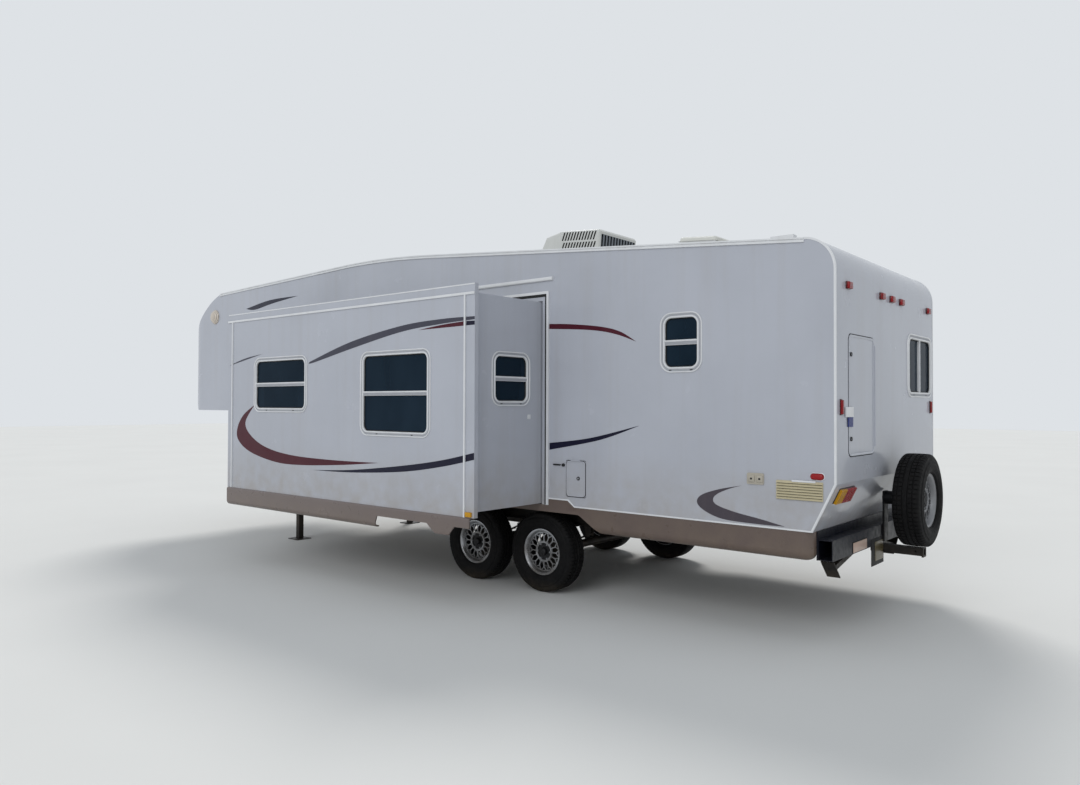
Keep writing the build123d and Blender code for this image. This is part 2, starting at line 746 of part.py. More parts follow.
# Pin box
PIN_BACK = 538
PIN_X = NOSE_X - PIN_BACK
PIN_PLATE_Z = 1210
PIN_PLATE_T = 12
PIN_PLATE_SIDE = 360
PIN_BOX_HALF = 160
PIN_BOX_T = 10
PIN_BOX_RUN = 600
PIN_BOX_HEEL = 70
PIN_BOX_TOE = 60
PIN_BOX_TIE_W = 80
PIN_BOX_TIE_IN = 60
UPPER_RAIL_Y = 470
UPPER_RAIL_H = 80
UPPER_RAIL_W = 60
PIN_SHOULDER_R = 36.5
PIN_NECK_R = 25.4
PIN_HEAD_R = 35.7
PIN_SHOULDER_L = 34.9
PIN_NECK_L = 31.8
PIN_HEAD_L = 17.4

# Kingpin, from the plate down: radius, length
KINGPIN = [(PIN_SHOULDER_R, PIN_SHOULDER_L), (PIN_NECK_R, PIN_NECK_L), (PIN_HEAD_R, PIN_HEAD_L)]


def pin_box():
    """A folded box that hangs from the overhang's rails and reaches down to the kingpin's plate."""
    top = OVERHANG_Z - UPPER_RAIL_H
    low = PIN_PLATE_Z + PIN_PLATE_T
    back, front = around(PIN_X, PIN_PLATE_SIDE / 2)
    rear = PIN_X - PIN_BOX_RUN
    outline = [(rear, top), (rear, top - PIN_BOX_HEEL), (back, low), (front, low),
               (front, low + PIN_BOX_TOE), (PIN_X, top)]
    body = side_outline(outline, around(0, PIN_BOX_HALF))
    hollow = offset(make_face(Polyline(*outline, close=True)), -PIN_BOX_T, kind=Kind.INTERSECTION)
    body -= extrude(Plane.XZ * hollow, amount=PIN_BOX_HALF - PIN_BOX_T, both=True)
    body += block((back, front), around(0, PIN_PLATE_SIDE / 2), (PIN_PLATE_Z, low))
    for side in (-1, 1):
        body += block((FRONT_X, PIN_X), around(side * UPPER_RAIL_Y, UPPER_RAIL_W / 2), (top, OVERHANG_Z))
    for x in (rear + PIN_BOX_TIE_IN, PIN_X - PIN_BOX_TIE_IN):
        body += block(around(x, PIN_BOX_TIE_W / 2), around(0, UPPER_RAIL_Y), (top, OVERHANG_Z))
    height = PIN_PLATE_Z
    for radius, drop in KINGPIN:
        body += rod((PIN_X, 0, height), (PIN_X, 0, height - drop), radius)
        height -= drop
    return body


# Landing legs
LEG_AHEAD = 80
LEG_IN = 319
LEG_X = FRONT_X + LEG_AHEAD
LEG_Y = HALF_W - LEG_IN
LEG_W = 76
LEG_INNER_W = 64
LEG_Z = (560, 1250)
LEG_HEAD_W = 100
LEG_HEAD_H = 110
FOOT_W = 200
FOOT_T = 10
LEG_BRACKET_Z = (760, 1080)
LEG_BRACKET_H = 40


def landing_legs():
    """Two square legs on the lower front wall, run down to their feet, each with its gear head on top."""
    return [landing_leg(side * LEG_Y) for side in (-1, 1)]


def landing_leg(y):
    def square(width, z):
        return block(around(LEG_X, width / 2), around(y, width / 2), z)

    leg = square(LEG_W, LEG_Z) + square(LEG_INNER_W, (FOOT_T, LEG_Z[0])) + square(FOOT_W, (0, FOOT_T))
    leg += square(LEG_HEAD_W, (LEG_Z[1], LEG_Z[1] + LEG_HEAD_H))
    for z in LEG_BRACKET_Z:
        leg += block((FRONT_X, LEG_X), around(y, LEG_W), (z, z + LEG_BRACKET_H))
    return leg


# Suspension
SPRING_X = (0, 104, 176, 248, 320)
SPRING_LEAVES = 4
SPRING_W = 45
LEAF_THICK = 8
SPRING_DROP = 82
EYE_R = 19
EYE_SIDES = 12
PIN_R = 8
PIN_GAP = 0.3
SEAT_H = 14
SEAT_HALF = 50
HANGER_T = 6
HANGER_GAP = 1
HANGER_TOP_HALF = 38
HANGER_FOOT_HALF = 20
HANGER_DROP = 26
PIN_END = 4
SPRING_HALF = SPRING_X[-1]


def spring_foot():
    """Height of the pack's underside at the axle."""
    return TYRE_R + AXLE_R + SEAT_H


def spring_top():
    """Height of the main leaf's top at the axle."""
    return spring_foot() + SPRING_LEAVES * LEAF_THICK


def eye_height():
    return spring_top() + SPRING_DROP


def leaf_spring(x_axle, y):
    """A pack of curved leaves, each one step shorter, with an eye at each end of the main leaf."""
    leaves = []
    for leaf in range(SPRING_LEAVES):
        reach = SPRING_X[:len(SPRING_X) - leaf]
        runs = [-x for x in reversed(reach[1:])] + list(reach)
        top = spring_top() - leaf * LEAF_THICK
        curve = [(x_axle + x, top + SPRING_DROP * (x / SPRING_HALF) ** 2) for x in runs]
        under = [(x, z - LEAF_THICK) for x, z in reversed(curve)]
        leaves.append(side_outline(curve + under, around(0, SPRING_W / 2)))
    pack = fuse(leaves)
    for x in around(x_axle, SPRING_HALF):
        pack += rod((x, -SPRING_W / 2, eye_height()), (x, SPRING_W / 2, eye_height()), EYE_R, EYE_SIDES)
        pack -= rod((x, -SPRING_W, eye_height()), (x, SPRING_W, eye_height()), PIN_R + PIN_GAP, EYE_SIDES)
    return Pos(0, y, 0) * pack


def leaf_springs():
    return [leaf_spring(x, side * RAIL_Y) for x in AXLES_X for side in (-1, 1)]


def cross_pin(x, y, reach, z):
    return rod((x, y - reach, z), (x, y + reach, z), PIN_R, EYE_SIDES)


def hanger_set(y):
    """One side's three hangers with their pins, and the pins between the springs and the equaliser."""
    cheek_y = SPRING_W / 2 + HANGER_GAP
    foot = eye_height() - HANGER_DROP
    pieces = []
    for x in (AXLES_X[0] - SPRING_HALF, TANDEM_X, AXLES_X[1] + SPRING_HALF):
        outline = [(x - HANGER_TOP_HALF, RAIL_Z[0]), (x - HANGER_FOOT_HALF, foot),
                   (x + HANGER_FOOT_HALF, foot), (x + HANGER_TOP_HALF, RAIL_Z[0])]
        for face in (-1, 1):
            inner = y + face * cheek_y
            pieces.append(side_outline(outline, sorted((inner, inner + face * HANGER_T))))
        pieces.append(cross_pin(x, y, cheek_y + HANGER_T + PIN_END, eye_height()))
    for x in (AXLES_X[0] + SPRING_HALF, AXLES_X[1] - SPRING_HALF):
        pieces.append(cross_pin(x, y, cheek_y + HANGER_T + PIN_END, eye_height()))
    return fuse(pieces)


def spring_hangers():
    return [hanger_set(side * RAIL_Y) for side in (-1, 1)]


BACKING_IN = 10
BACKING_T = 6
BACKING_LAP = 4
SPINDLE_SHORT = 20


def axles():
    """Two tubes with a spring seat, backing plate and spindle at each end."""
    result = []
    inner = WHEEL_Y - RIM_W / 2 - DRUM_W
    for x in AXLES_X:
        tube = rod((x, -inner, TYRE_R), (x, inner, TYRE_R), AXLE_R)
        for side in (-1, 1):
            start, end = side * (inner - BACKING_IN), side * (WHEEL_Y + HUB_FACE - SPINDLE_SHORT)
            tube += block(around(x, SEAT_HALF), around(side * RAIL_Y, SPRING_W / 2), (TYRE_R, spring_foot()))
            tube += rod((x, start, TYRE_R), (x, start + side * BACKING_T, TYRE_R), DRUM_R + BACKING_LAP)
            tube += rod((x, start, TYRE_R), (x, end, TYRE_R), SPINDLE_R)
        result.append(tube)
    return result


# Wheels
TYRE_BULGE_R = 72
TYRE_SHOULDER = (16, 20)
TYRE_CROWN_IN = 44
BEAD_CLEAR = 2


def revolve_profile(points):
    """Turn a closed outline of (radius, distance along the axle) about the axle, +Y outwards."""
    return revolve(make_face(Polyline(*points, close=True)), Axis.Y)


def tyre():
    """A carcass from the rim's seats to a round shoulder and a flat crown."""
    width, lip = TYRE_W / 2, RIM_W / 2
    half = [
        (RIM_SEAT_R + BEARING_GAP, lip - RIM_FLANGE - 2 * BEARING_GAP),
        (RIM_LIP_R + BEAD_CLEAR, lip - BEARING_GAP),
        (RIM_SEAT_R + TYRE_BULGE_R, width),
        (TYRE_R - TYRE_SHOULDER[0], width - TYRE_SHOULDER[1]),
        (TYRE_R, width - TYRE_CROWN_IN),
    ]
    return revolve_profile(half + [(x, -y) for x, y in reversed(half)])


def barrel():
    """The rim's barrel: a drop centre between two seats, each with its lip."""
    half, seat, well = RIM_W / 2, RIM_SEAT_R, RIM_SEAT_R - RIM_WELL
    lip_end, well_end = half - RIM_FLANGE, half - 3 * RIM_WELL
    face = [(RIM_LIP_R, half), (seat, lip_end), (well, well_end)]
    back = [(RIM_LIP_R - RIM_T, half), (seat - RIM_T, lip_end - RIM_T / 2), (well - RIM_T, well_end)]
    outer = face + [(x, -y) for x, y in reversed(face)]
    inner = back + [(x, -y) for x, y in reversed(back)]
    return revolve_profile(outer + list(reversed(inner)))


def barrel_r(y):
    """The radius of the middle of the barrel's front cone."""
    well_end = RIM_W / 2 - 3 * RIM_WELL
    rise = RIM_WELL / (3 * RIM_WELL - RIM_FLANGE)
    return RIM_SEAT_R - RIM_WELL - RIM_T / 2 + (y - well_end) * rise


def spoke_slot(step):
    """One tapered window between two spokes, along +X."""
    inner, outer = SPOKE_SLOT
    half_angle = radians(step / 2)
    wide_in = inner * tan(half_angle) - SPOKE_W / 2
    wide_out = outer * tan(half_angle) - SPOKE_W / 2
    points = [(inner, -wide_in), (outer, -wide_out), (outer, wide_out), (inner, wide_in)]
    return side_outline(points, around(0, RIM_W))


def rim():
    """A 15 inch alloy wheel: barrel and spoked disc with its nuts."""
    web = HUB_FACE + WEB_OUT
    disc = revolve_profile([
        (0, HUB_FACE), (HUB_R, HUB_FACE), (HUB_R + WEB_OUT, web), (barrel_r(web), web),
        (barrel_r(web - WEB_T), web - WEB_T), (HUB_R + WEB_OUT, web - WEB_T), (HUB_R, HUB_FACE - HUB_T),
        (0, HUB_FACE - HUB_T)])
    step = 360 / SPOKE_PAIRS
    for index in range(SPOKE_PAIRS):
        disc -= Rot(0, index * step, 0) * spoke_slot(step)
    wheel = barrel() + disc
    for index in range(LUGS):
        x, z = LUG_PCD_R * cos(2 * pi * index / LUGS), LUG_PCD_R * sin(2 * pi * index / LUGS)
        wheel += rod((x, HUB_FACE - 1, z), (x, HUB_FACE + LUG_OUT, z), LUG_R, 6)
    return wheel


def road_rim():
    """The wheel on its hub: the brake drum behind, the grease cap in front and the bearing bore."""
    half = RIM_W / 2
    hub = rod((0, -half, 0), (0, HUB_FACE, 0), CORE_R)
    cap = rod((0, HUB_FACE, 0), (0, HUB_FACE + CAP_OUT, 0), CAP_R)
    drum = rod((0, -half - DRUM_W + 1, 0), (0, -half, 0), DRUM_R)
    bore = rod((0, -half - DRUM_W, 0), (0, HUB_FACE - HUB_T, 0), SPINDLE_R + BEARING_GAP)
    return rim() + hub + cap + drum - bore


def spare_rim():
    """The same wheel with its centre open, as it hangs on the carrier."""
    return rim() - rod((0, -RIM_W, 0), (0, RIM_W, 0), CAP_R)


WHEELS = [
    ("left_rear", AXLES_X[0], 1), ("left_front", AXLES_X[1], 1),
    ("right_rear", AXLES_X[0], -1), ("right_front", AXLES_X[1], -1),
]


def place_wheel(shape, x, side):
    turned = shape if side > 0 else Rot(0, 0, 180) * shape
    return Pos(x, side * WHEEL_Y, TYRE_R) * turned


# Rear bumper, receiver and spare wheel
RECEIVER_W = 63
RECEIVER_BORE = 51
RECEIVER_X = (-245, 155)
RECEIVER_DROP = 15
RECEIVER_PIN_R = 8
RECEIVER_PIN_IN = 60
COLLAR_LEN = 14
COLLAR_LAP = 8
RECEIVER_Z = (BUMPER_Z[0] - RECEIVER_DROP - RECEIVER_W, BUMPER_Z[0] - RECEIVER_DROP)
SPARE_Y = 0
SPARE_Z = 955
SPARE_X = -197
CARRIER_HALF = 45
CARRIER_T = 16
CARRIER_LAP = 10
BOSS_R = 52
STUB_LEN = 32
NOTCH_GAP = 1


def bumper():
    """A square tube against the ends of the rails, with the black apron behind it."""
    span = around(0, BUMPER_HALF)
    tube = block(BUMPER_X, span, BUMPER_Z)
    tube -= block(shrink(BUMPER_X, BUMPER_WALL), shrink(span, -1), shrink(BUMPER_Z, BUMPER_WALL))
    apron_x = (BUMPER_X[1], BEVEL_RUN)
    apron = block(apron_x, around(0, HALF_W - SKIRT_CORNER_R), (BUMPER_Z[0], WALL_BOTTOM))
    for side in (-1, 1):
        notch = around(side * RAIL_Y, RAIL_FLANGE / 2 + NOTCH_GAP)
        apron -= block(shrink(apron_x, -1), notch, (BUMPER_Z[0] - 1, RAIL_Z[1] + NOTCH_GAP))
    return tube + apron


def receiver():
    """A square socket on a spacer under the bumper, with its cross-pin bore and a collar at its mouth."""
    half, bore = RECEIVER_W / 2, RECEIVER_BORE / 2
    mid = middle(RECEIVER_Z)
    tube = block(RECEIVER_X, around(0, half), RECEIVER_Z)
    tube -= block(shrink(RECEIVER_X, -1), around(0, bore), around(mid, bore))
    mouth = RECEIVER_X[0]
    collar = block((mouth, mouth + COLLAR_LEN), around(0, half + COLLAR_LAP),
                   (RECEIVER_Z[0] - COLLAR_LAP, RECEIVER_Z[1]))
    collar -= block((mouth - 1, mouth + COLLAR_LEN + 1), around(0, half), RECEIVER_Z)
    pin_x = mouth + RECEIVER_PIN_IN
    tube -= rod((pin_x, -half - 1, mid), (pin_x, half + 1, mid), RECEIVER_PIN_R)
    spacer = block((BUMPER_X[0], RECEIVER_X[1]), around(0, half), (RECEIVER_Z[1], BUMPER_Z[0]))
    return tube + collar + spacer


def spare_carrier():
    """A post from the bumper up to the spare wheel, and a round boss to the back of its disc."""
    post_x = (BUMPER_X[0] - CARRIER_T, BUMPER_X[0])
    post = block(post_x, around(SPARE_Y, CARRIER_HALF), (BUMPER_Z[0] + CARRIER_LAP, SPARE_Z + BOSS_R))
    disc_back = SPARE_X - (HUB_FACE - HUB_T)
    centre = (SPARE_Y, SPARE_Z)
    boss = rod((post_x[1], *centre), (disc_back, *centre), BOSS_R)
    stub = rod((disc_back, *centre), (disc_back - STUB_LEN, *centre), CAP_R - BEARING_GAP)
    return post + boss + stub


# Rear stabiliser legs, folded up crosswise under the first cross member
STAB_X = CROSS_X[0]
STAB_PIVOT_Y = 90
STAB_Z = 585
STAB_LEN = 636
STAB_DROOP = 11
STAB_W = 50
STAB_H = 40
STAB_EYE_R = 26
STAB_PIN_R = 8
STAB_FOOT = (100, 184, 8)
STAB_FOOT_TILT = 56
STAB_CHEEK_T = 8
STAB_CHEEK_GAP = 1
STAB_CHEEK_HALF = 25
STAB_PLATE_T = 10


def stabiliser(side):
    """A drop leg: a square tube from its eye to a tilted foot plate."""
    wide, long, thick = STAB_FOOT
    leg = block(around(0, STAB_W / 2), (0, STAB_LEN), around(0, STAB_H / 2))
    tilt = Pos(0, STAB_LEN, 0) * Rot(STAB_FOOT_TILT, 0, 0)
    leg -= tilt * Pos(0, 0, -long - thick / 2) * Box(2 * wide, 2 * long, 2 * long)
    leg += tilt * Box(wide, long, thick)
    leg += rod((-STAB_W / 2, 0, 0), (STAB_W / 2, 0, 0), STAB_EYE_R)
    leg -= rod((-STAB_W, 0, 0), (STAB_W, 0, 0), STAB_PIN_R + BEARING_GAP)
    placed = Pos(STAB_X, STAB_PIVOT_Y, STAB_Z) * Rot(-STAB_DROOP, 0, 0) * leg
    return placed if side > 0 else mirror(placed, Plane.XZ)


def stabiliser_brackets():
    """A clevis with its pin for each leg, under the first cross member."""
    inner = STAB_W / 2 + STAB_CHEEK_GAP
    outer = inner + STAB_CHEEK_T
    y = around(STAB_PIVOT_Y, STAB_CHEEK_HALF)
    bracket = block(around(STAB_X, outer), y, (CROSS_Z[0] - STAB_PLATE_T, CROSS_Z[0]))
    for face in (-1, 1):
        x = sorted((STAB_X + face * inner, STAB_X + face * outer))
        bracket += block(x, y, (STAB_Z - STAB_CHEEK_HALF, CROSS_Z[0]))
    reach = outer + PIN_END
    bracket += rod((STAB_X - reach, STAB_PIVOT_Y, STAB_Z), (STAB_X + reach, STAB_PIVOT_Y, STAB_Z), STAB_PIN_R)
    return both_sides(bracket)


# Roof unit
AC_X = (2640, 3430)
AC_Y = (-310, 350)
AC_H = 335
AC_BROW = 20
AC_CROWN_X = 475
AC_KNEE = (680, 280)
AC_R = 30
AC_BASE_H = 30
AC_BASE_IN = 30
AC_GRILLE_X = (62, 485)
AC_ROWS = ((130, 215), (233, 318))
AC_SLOTS = 12
AC_SLOT_SHARE = 0.55
AC_SLOT_LEAN = 26
AC_SLOT_DEPTH = 22
AC_REAR_Z = (60, 290)
AC_FINS = 12


def air_conditioner():
    """A moulded cover with a sloping front, slanted slots on its flanks and upright ones behind."""
    long, width = length(AC_X), length(AC_Y)
    plane = roof_plane(AC_X[0], middle(AC_Y))
    side = make_face(Polyline((0, AC_BASE_H), (0, AC_H - AC_BROW), (AC_BROW, AC_H), (AC_CROWN_X, AC_H),
                              AC_KNEE, (long, AC_BASE_H), close=True))
    standing = Plane(plane.origin, plane.x_dir, -Vector(0, 1, 0))
    cover = extrude(standing * side, amount=width / 2, both=True)
    above = plane.origin.Z + 2 * AC_BASE_H
    rims = [e for e in cover.edges() if abs(e.tangent_at(0.5).Y) < 0.1 and e.center().Z > above]
    cover = fillet(rims, AC_R)
    slots = extrude(standing * ac_slots(), amount=width / 2 + 1, both=True)
    cover -= slots - plane.location * block((0, long), around(0, width / 2 - AC_SLOT_DEPTH), (0, AC_H))
    pitch = (width - 2 * AC_R) / AC_FINS
    for index in range(AC_FINS):
        mid = AC_R - width / 2 + (index + 0.5) * pitch
        fin = around(mid, pitch * AC_SLOT_SHARE / 2)
        cover -= plane.location * block((-1, AC_SLOT_DEPTH), fin, AC_REAR_Z)
    foot = shrink((0, long), AC_BASE_IN), around(0, width / 2 - AC_BASE_IN), (0, AC_BASE_H)
    return cover + plane.location * block(*foot)


def ac_slots():
    """Rows of slanted slots, drawn along the roof and up."""
    pitch = length(AC_GRILLE_X) / AC_SLOTS
    faces = []
    for low, high in AC_ROWS:
        for index in range(AC_SLOTS):
            x = AC_GRILLE_X[0] + index * pitch
            wide = pitch * AC_SLOT_SHARE
            faces.append(make_face(Polyline((x, low), (x + wide, low), (x + wide - AC_SLOT_LEAN, high),
                                            (x - AC_SLOT_LEAN, high), close=True)))
    return Sketch() + faces


# Lamps
MARKERS_Y = (-1040, -250, 0, 250, 985)
MARKER_Z = 2535
MARKER_W = 80
MARKER_H = 54
MARKER_OUT = 28
SIDE_MARKER_OUT = 20
MARKER_R = 8
UPRIGHT_LAMP_IN = 94
UPRIGHT_LAMP_HALF = 19
UPRIGHT_LAMP_Z = (1625, 1725)
TAIL_IN = 120
TAIL_W = 300
TAIL_Z = (1000, 1110)
TAIL_OUT = 26
SIDE_MARKER_U = (75, 180)
SIDE_MARKER_V = (1167, 1221)
DOME_BACK = 723
DOME_DROP = 307
DOME_R = 95
DOME_OUT = 50
DOME_COLLAR = 10
DOME_RINGS = 4


def bevel_plane(z):
    """A plane on the rear bevel at a height, its normal pointing out and down."""
    slope = BEVEL_RUN / BEVEL_H
    return Plane(((BEVEL_TOP - z) * slope, 0, z), (0, 1, 0), (-cos(atan(slope)), 0, -sin(atan(slope))))


def lamps():
    """Clearance lamps high on the rear wall, upright lamps at its edges and tail lamps on the bevel."""
    height = around(MARKER_Z, MARKER_H / 2)
    shapes = [on_wall("rear", around(y, MARKER_W / 2), height, 0, MARKER_OUT, MARKER_R)
              for y in MARKERS_Y]
    plane = bevel_plane(middle(TAIL_Z))
    tail = Rectangle(TAIL_W, length(TAIL_Z))
    for side in (-1, 1):
        y = side * (HALF_W - UPRIGHT_LAMP_IN)
        across = around(y, UPRIGHT_LAMP_HALF)
        shapes.append(on_wall("rear", across, UPRIGHT_LAMP_Z, 0, SIDE_MARKER_OUT, MARKER_R))
        place = Pos(side * (HALF_W - TAIL_IN - TAIL_W / 2), 0)
        shapes.append(extrude(plane * place * tail, amount=TAIL_OUT, dir=plane.z_dir))
    for side in ("left", "right"):
        shapes.append(on_wall(side, SIDE_MARKER_U, SIDE_MARKER_V, 0, SIDE_MARKER_OUT, MARKER_R))
    return shapes


def dome_lamp():
    """A round lamp high on the cap: a lens in rings of one sphere, on a short collar."""
    ball_r = (DOME_R ** 2 + DOME_OUT ** 2) / (2 * DOME_OUT)
    sweep = pi / 2 - atan((ball_r - DOME_OUT) / DOME_R)
    rings = [sweep * index / DOME_RINGS for index in range(DOME_RINGS, 0, -1)]
    lens = [(ball_r * sin(angle), ball_r * cos(angle) - ball_r + DOME_OUT + DOME_COLLAR) for angle in rings]
    profile = [(0, 0), (DOME_R, 0)] + lens + [(0, DOME_OUT + DOME_COLLAR)]
    return Pos(NOSE_X - DOME_BACK, HALF_W, NOSE_Z + NOSE_DROP + DOME_LIFT) * revolve_profile(profile)


DOME_LIFT = 7

# Vents and plates on the walls
LOUVRE_U = (88, 424)
LOUVRE_V = (1022, 1155)
LOUVRE_SLATS = 7
LOUVRE_BACK = 4
LOUVRE_OUT = 14
OUTLET_U = (519, 648)
OUTLET_V = (1112, 1194)
OUTLET_OUT = 10
HEATER_U = (1850, 2150)
HEATER_V = (880, 1220)
FURNACE_U = (4020, 4250)
FURNACE_V = (880, 1060)
PLATE_OUT = 8
PORCH_U = (4200, 4320)
PORCH_V = (2340, 2420)
PORCH_OUT = 40
GRAB_X = ENTRY_X[0] - 110
GRAB_Z = (1300, 1720)
GRAB_OUT = 55
GRAB_R = 12
GRAB_SIDES = 10


def louvre():
    """A cream vent: a plate with sloping slats."""
    plate = on_wall("left", LOUVRE_U, LOUVRE_V, 0, LOUVRE_BACK)
    pitch = length(LOUVRE_V) / LOUVRE_SLATS
    back, front = HALF_W + LOUVRE_BACK, HALF_W + LOUVRE_OUT
    for index in range(LOUVRE_SLATS):
        low = LOUVRE_V[0] + index * pitch
        slat = Plane.YZ * make_face(Polyline((back, low + pitch * 0.9), (front, low + pitch * 0.1),
                                             (back, low + pitch * 0.1), close=True))
        plate += Pos(LOUVRE_U[0], 0, 0) * extrude(slat, amount=length(LOUVRE_U), dir=(1, 0, 0))
    return plate


def wall_fittings():
    """The outlet plate on the left; heater door, furnace vent, porch lamp and grab handle on the right."""
    grab_y = -HALF_W - GRAB_OUT
    grab = rod((GRAB_X, grab_y, GRAB_Z[0]), (GRAB_X, grab_y, GRAB_Z[1]), GRAB_R, GRAB_SIDES)
    for z in shrink(GRAB_Z, GRAB_R):
        grab += rod((GRAB_X, grab_y, z), (GRAB_X, -HALF_W, z), GRAB_R, GRAB_SIDES)
    return [
        on_wall("left", OUTLET_U, OUTLET_V, 0, OUTLET_OUT, OUTLET_OUT),
        on_wall("right", HEATER_U, HEATER_V, 0, PLATE_OUT, LATCH_R),
        on_wall("right", FURNACE_U, FURNACE_V, 0, PLATE_OUT, LATCH_R),
        on_wall("right", PORCH_U, PORCH_V, 0, PORCH_OUT, LATCH_R),
        grab,
    ]


# Tanks and entry step
TANKS = [((1275, 2225), (-560, 560)), ((3125, 4025), (-560, 560))]
TANK_Z = (490, CROSS_Z[0])
TANK_LIP = 25
TANK_LIP_T = 10
TANK_R = 40
STEP_IN = 50
STEP_Z = (600, 700)
STEP_T = 25
STEP_RIM = 30
STEP_PAN = 15
STEP_ARM_T = 12
STEP_GAP = 14


def tanks():
    """Moulded tanks with a lip that hangs on the cross members."""
    shapes = []
    for x, y in TANKS:
        lip = block(shrink(x, -TANK_LIP), y, (TANK_Z[1] - TANK_LIP_T, TANK_Z[1]))
        shapes.append(panel("Z", x, y, TANK_Z, TANK_R) + lip)
    return shapes


def entry_step():
    """A folding step, stowed on its two arms under the entry door."""
    x = shrink(ENTRY_X, STEP_IN)
    y = (SKIRT_REACH + STEP_GAP - HALF_W, -RAIL_Y - RAIL_FLANGE / 2 - STEP_GAP)
    tread = block(x, y, (STEP_Z[0], STEP_Z[0] + STEP_T))
    tread -= block(shrink(x, STEP_RIM), shrink(y, STEP_RIM), (STEP_Z[0] - 1, STEP_Z[0] + STEP_PAN))
    for start in (x[0], x[1] - STEP_ARM_T):
        tread += block((start, start + STEP_ARM_T), y, (STEP_Z[0], WALL_BOTTOM - FLOOR_T))
    return tread


# Slide-out room
SLIDE_Y = (SLIDE_INNER_Y, SLIDE_BACK_Y)
FLANGE_LAP = 40
FLANGE_T = 12
FLANGE_Y = (HALF_W - WALL - CLEAR - FLANGE_T - 2, HALF_W - WALL - CLEAR - 2)
SLIDE_SKIRT_LOW = 585
SLIDE_SKIRT_MID = 690
SLIDE_SKIRT_OUT = 20
SLIDE_TUCK_R = 48
SLIDE_SKIRT_END = 20
TRIM_Z = (FACE_Z[1] - 90, FACE_Z[1] - 70)
TRIM_W = 16
TRIM_IN_REAR = 100
TRIM_IN_FRONT = 84

# The slide skirt's lower edge: distance from the face's rear edge, height
SLIDE_SKIRT_EDGE = [
    (40, SLIDE_SKIRT_MID), (210, SLIDE_SKIRT_MID), (280, 614), (440, 614), (540, SLIDE_SKIRT_MID),
    (1200, SLIDE_SKIRT_MID), (1240, SLIDE_SKIRT_LOW),
]


def slide_face():
    """The outer wall with its flange, and its two windows cut."""
    return cut_openings(on_wall("slide_face", FACE_X, FACE_Z, -WALL, 0), "slide_face")


def slide_ends():
    """The end walls, each with the inner flange that stops the room against the side wall."""
    rear = cut_openings(block((SLIDE_X[0], SLIDE_X[0] + WALL), SLIDE_Y, SLIDE_Z), "slide_rear")
    rear += block((SLIDE_X[0] - FLANGE_LAP, SLIDE_X[0]), FLANGE_Y, SLIDE_Z)
    front = block((SLIDE_X[1] - WALL, SLIDE_X[1]), SLIDE_Y, SLIDE_Z)
    front += block((SLIDE_X[1], SLIDE_X[1] + FLANGE_LAP), FLANGE_Y, SLIDE_Z)
    return [rear, front]


def slide_roof():
    """The room's roof, with its stretch of the inner flange."""
    plate = block(shrink(SLIDE_X, WALL), SLIDE_Y, (SLIDE_Z[1] - WALL, SLIDE_Z[1]))
    return plate + block(shrink(SLIDE_X, WALL), FLANGE_Y, (SLIDE_Z[1], SLIDE_Z[1] + FLANGE_LAP))


def slide_floor():
    return block(shrink(SLIDE_X, WALL), SLIDE_Y, (SLIDE_Z[0], SLIDE_Z[0] + WALL))


def skirt_roll(inset):
    """A bar along the face's foot, round at its top and turned under below, drawn in."""
    x = (FACE_X[0], FACE_X[1] - SLIDE_SKIRT_END)
    front = SLIDE_FACE_Y + SLIDE_SKIRT_OUT - inset
    z = (SLIDE_SKIRT_LOW + inset, FACE_Z[0] - inset)
    roll = block(x, (SLIDE_BACK_Y - inset / 2, front), z)
    outer = roll.edges().filter_by(Axis.X).group_by(Axis.Y)[-1].sort_by(Axis.Z)
    roll = fillet(outer[0], SLIDE_TUCK_R - inset)
    top = roll.edges().filter_by(Axis.X).group_by(Axis.Z)[-1].sort_by(Axis.Y)[-1]
    return fillet(top, SLIDE_SKIRT_OUT - inset)


def slide_skirt():
    """The rolled skirt under the face, with its step over the wheels and its short tab."""
    edge = [(FACE_X[0] + run, height) for run, height in SLIDE_SKIRT_EDGE]
    points = [(edge[0][0], FACE_Z[0])] + edge + [(FACE_X[1], SLIDE_SKIRT_LOW), (FACE_X[1], FACE_Z[0])]
    shape = side_outline(points, (SLIDE_BACK_Y, SLIDE_FACE_Y + SLIDE_SKIRT_OUT))
    return (skirt_roll(0) - skirt_roll(SKIRT_T)) & shape


def slide_arms():
    """Square tubes that run in through the rail, each on a plate behind the face."""
    arms = []
    for x in ARM_X:
        u = around(x, ARM_W / 2)
        y = (SLIDE_BACK_Y - CLEAR - ARM_LEN, SLIDE_BACK_Y - CLEAR)
        tube = block(u, y, ARM_Z)
        tube -= block(shrink(u, ARM_WALL), (y[0] - 1, y[1] - ARM_WALL), shrink(ARM_Z, ARM_WALL))
        plate = block(shrink(u, -ARM_PLATE_LAP), (y[1], SLIDE_BACK_Y), (ARM_Z[0], SLIDE_Z[0]))
        arms.append(tube + plate)
    return arms


def slide_trim():
    """The rail along the top of the face and the upright beside each end of its panel."""
    y = (SLIDE_FACE_Y, SLIDE_FACE_Y + RAIL_PROUD)
    rear = FACE_X[0] + TRIM_IN_REAR
    front = FACE_X[1] - TRIM_IN_FRONT
    trim = block(FACE_X, y, TRIM_Z)
    for x in ((rear, rear + TRIM_W), (front - TRIM_W, front)):
        trim += block(x, y, (FACE_Z[0], TRIM_Z[0]))
    return trim


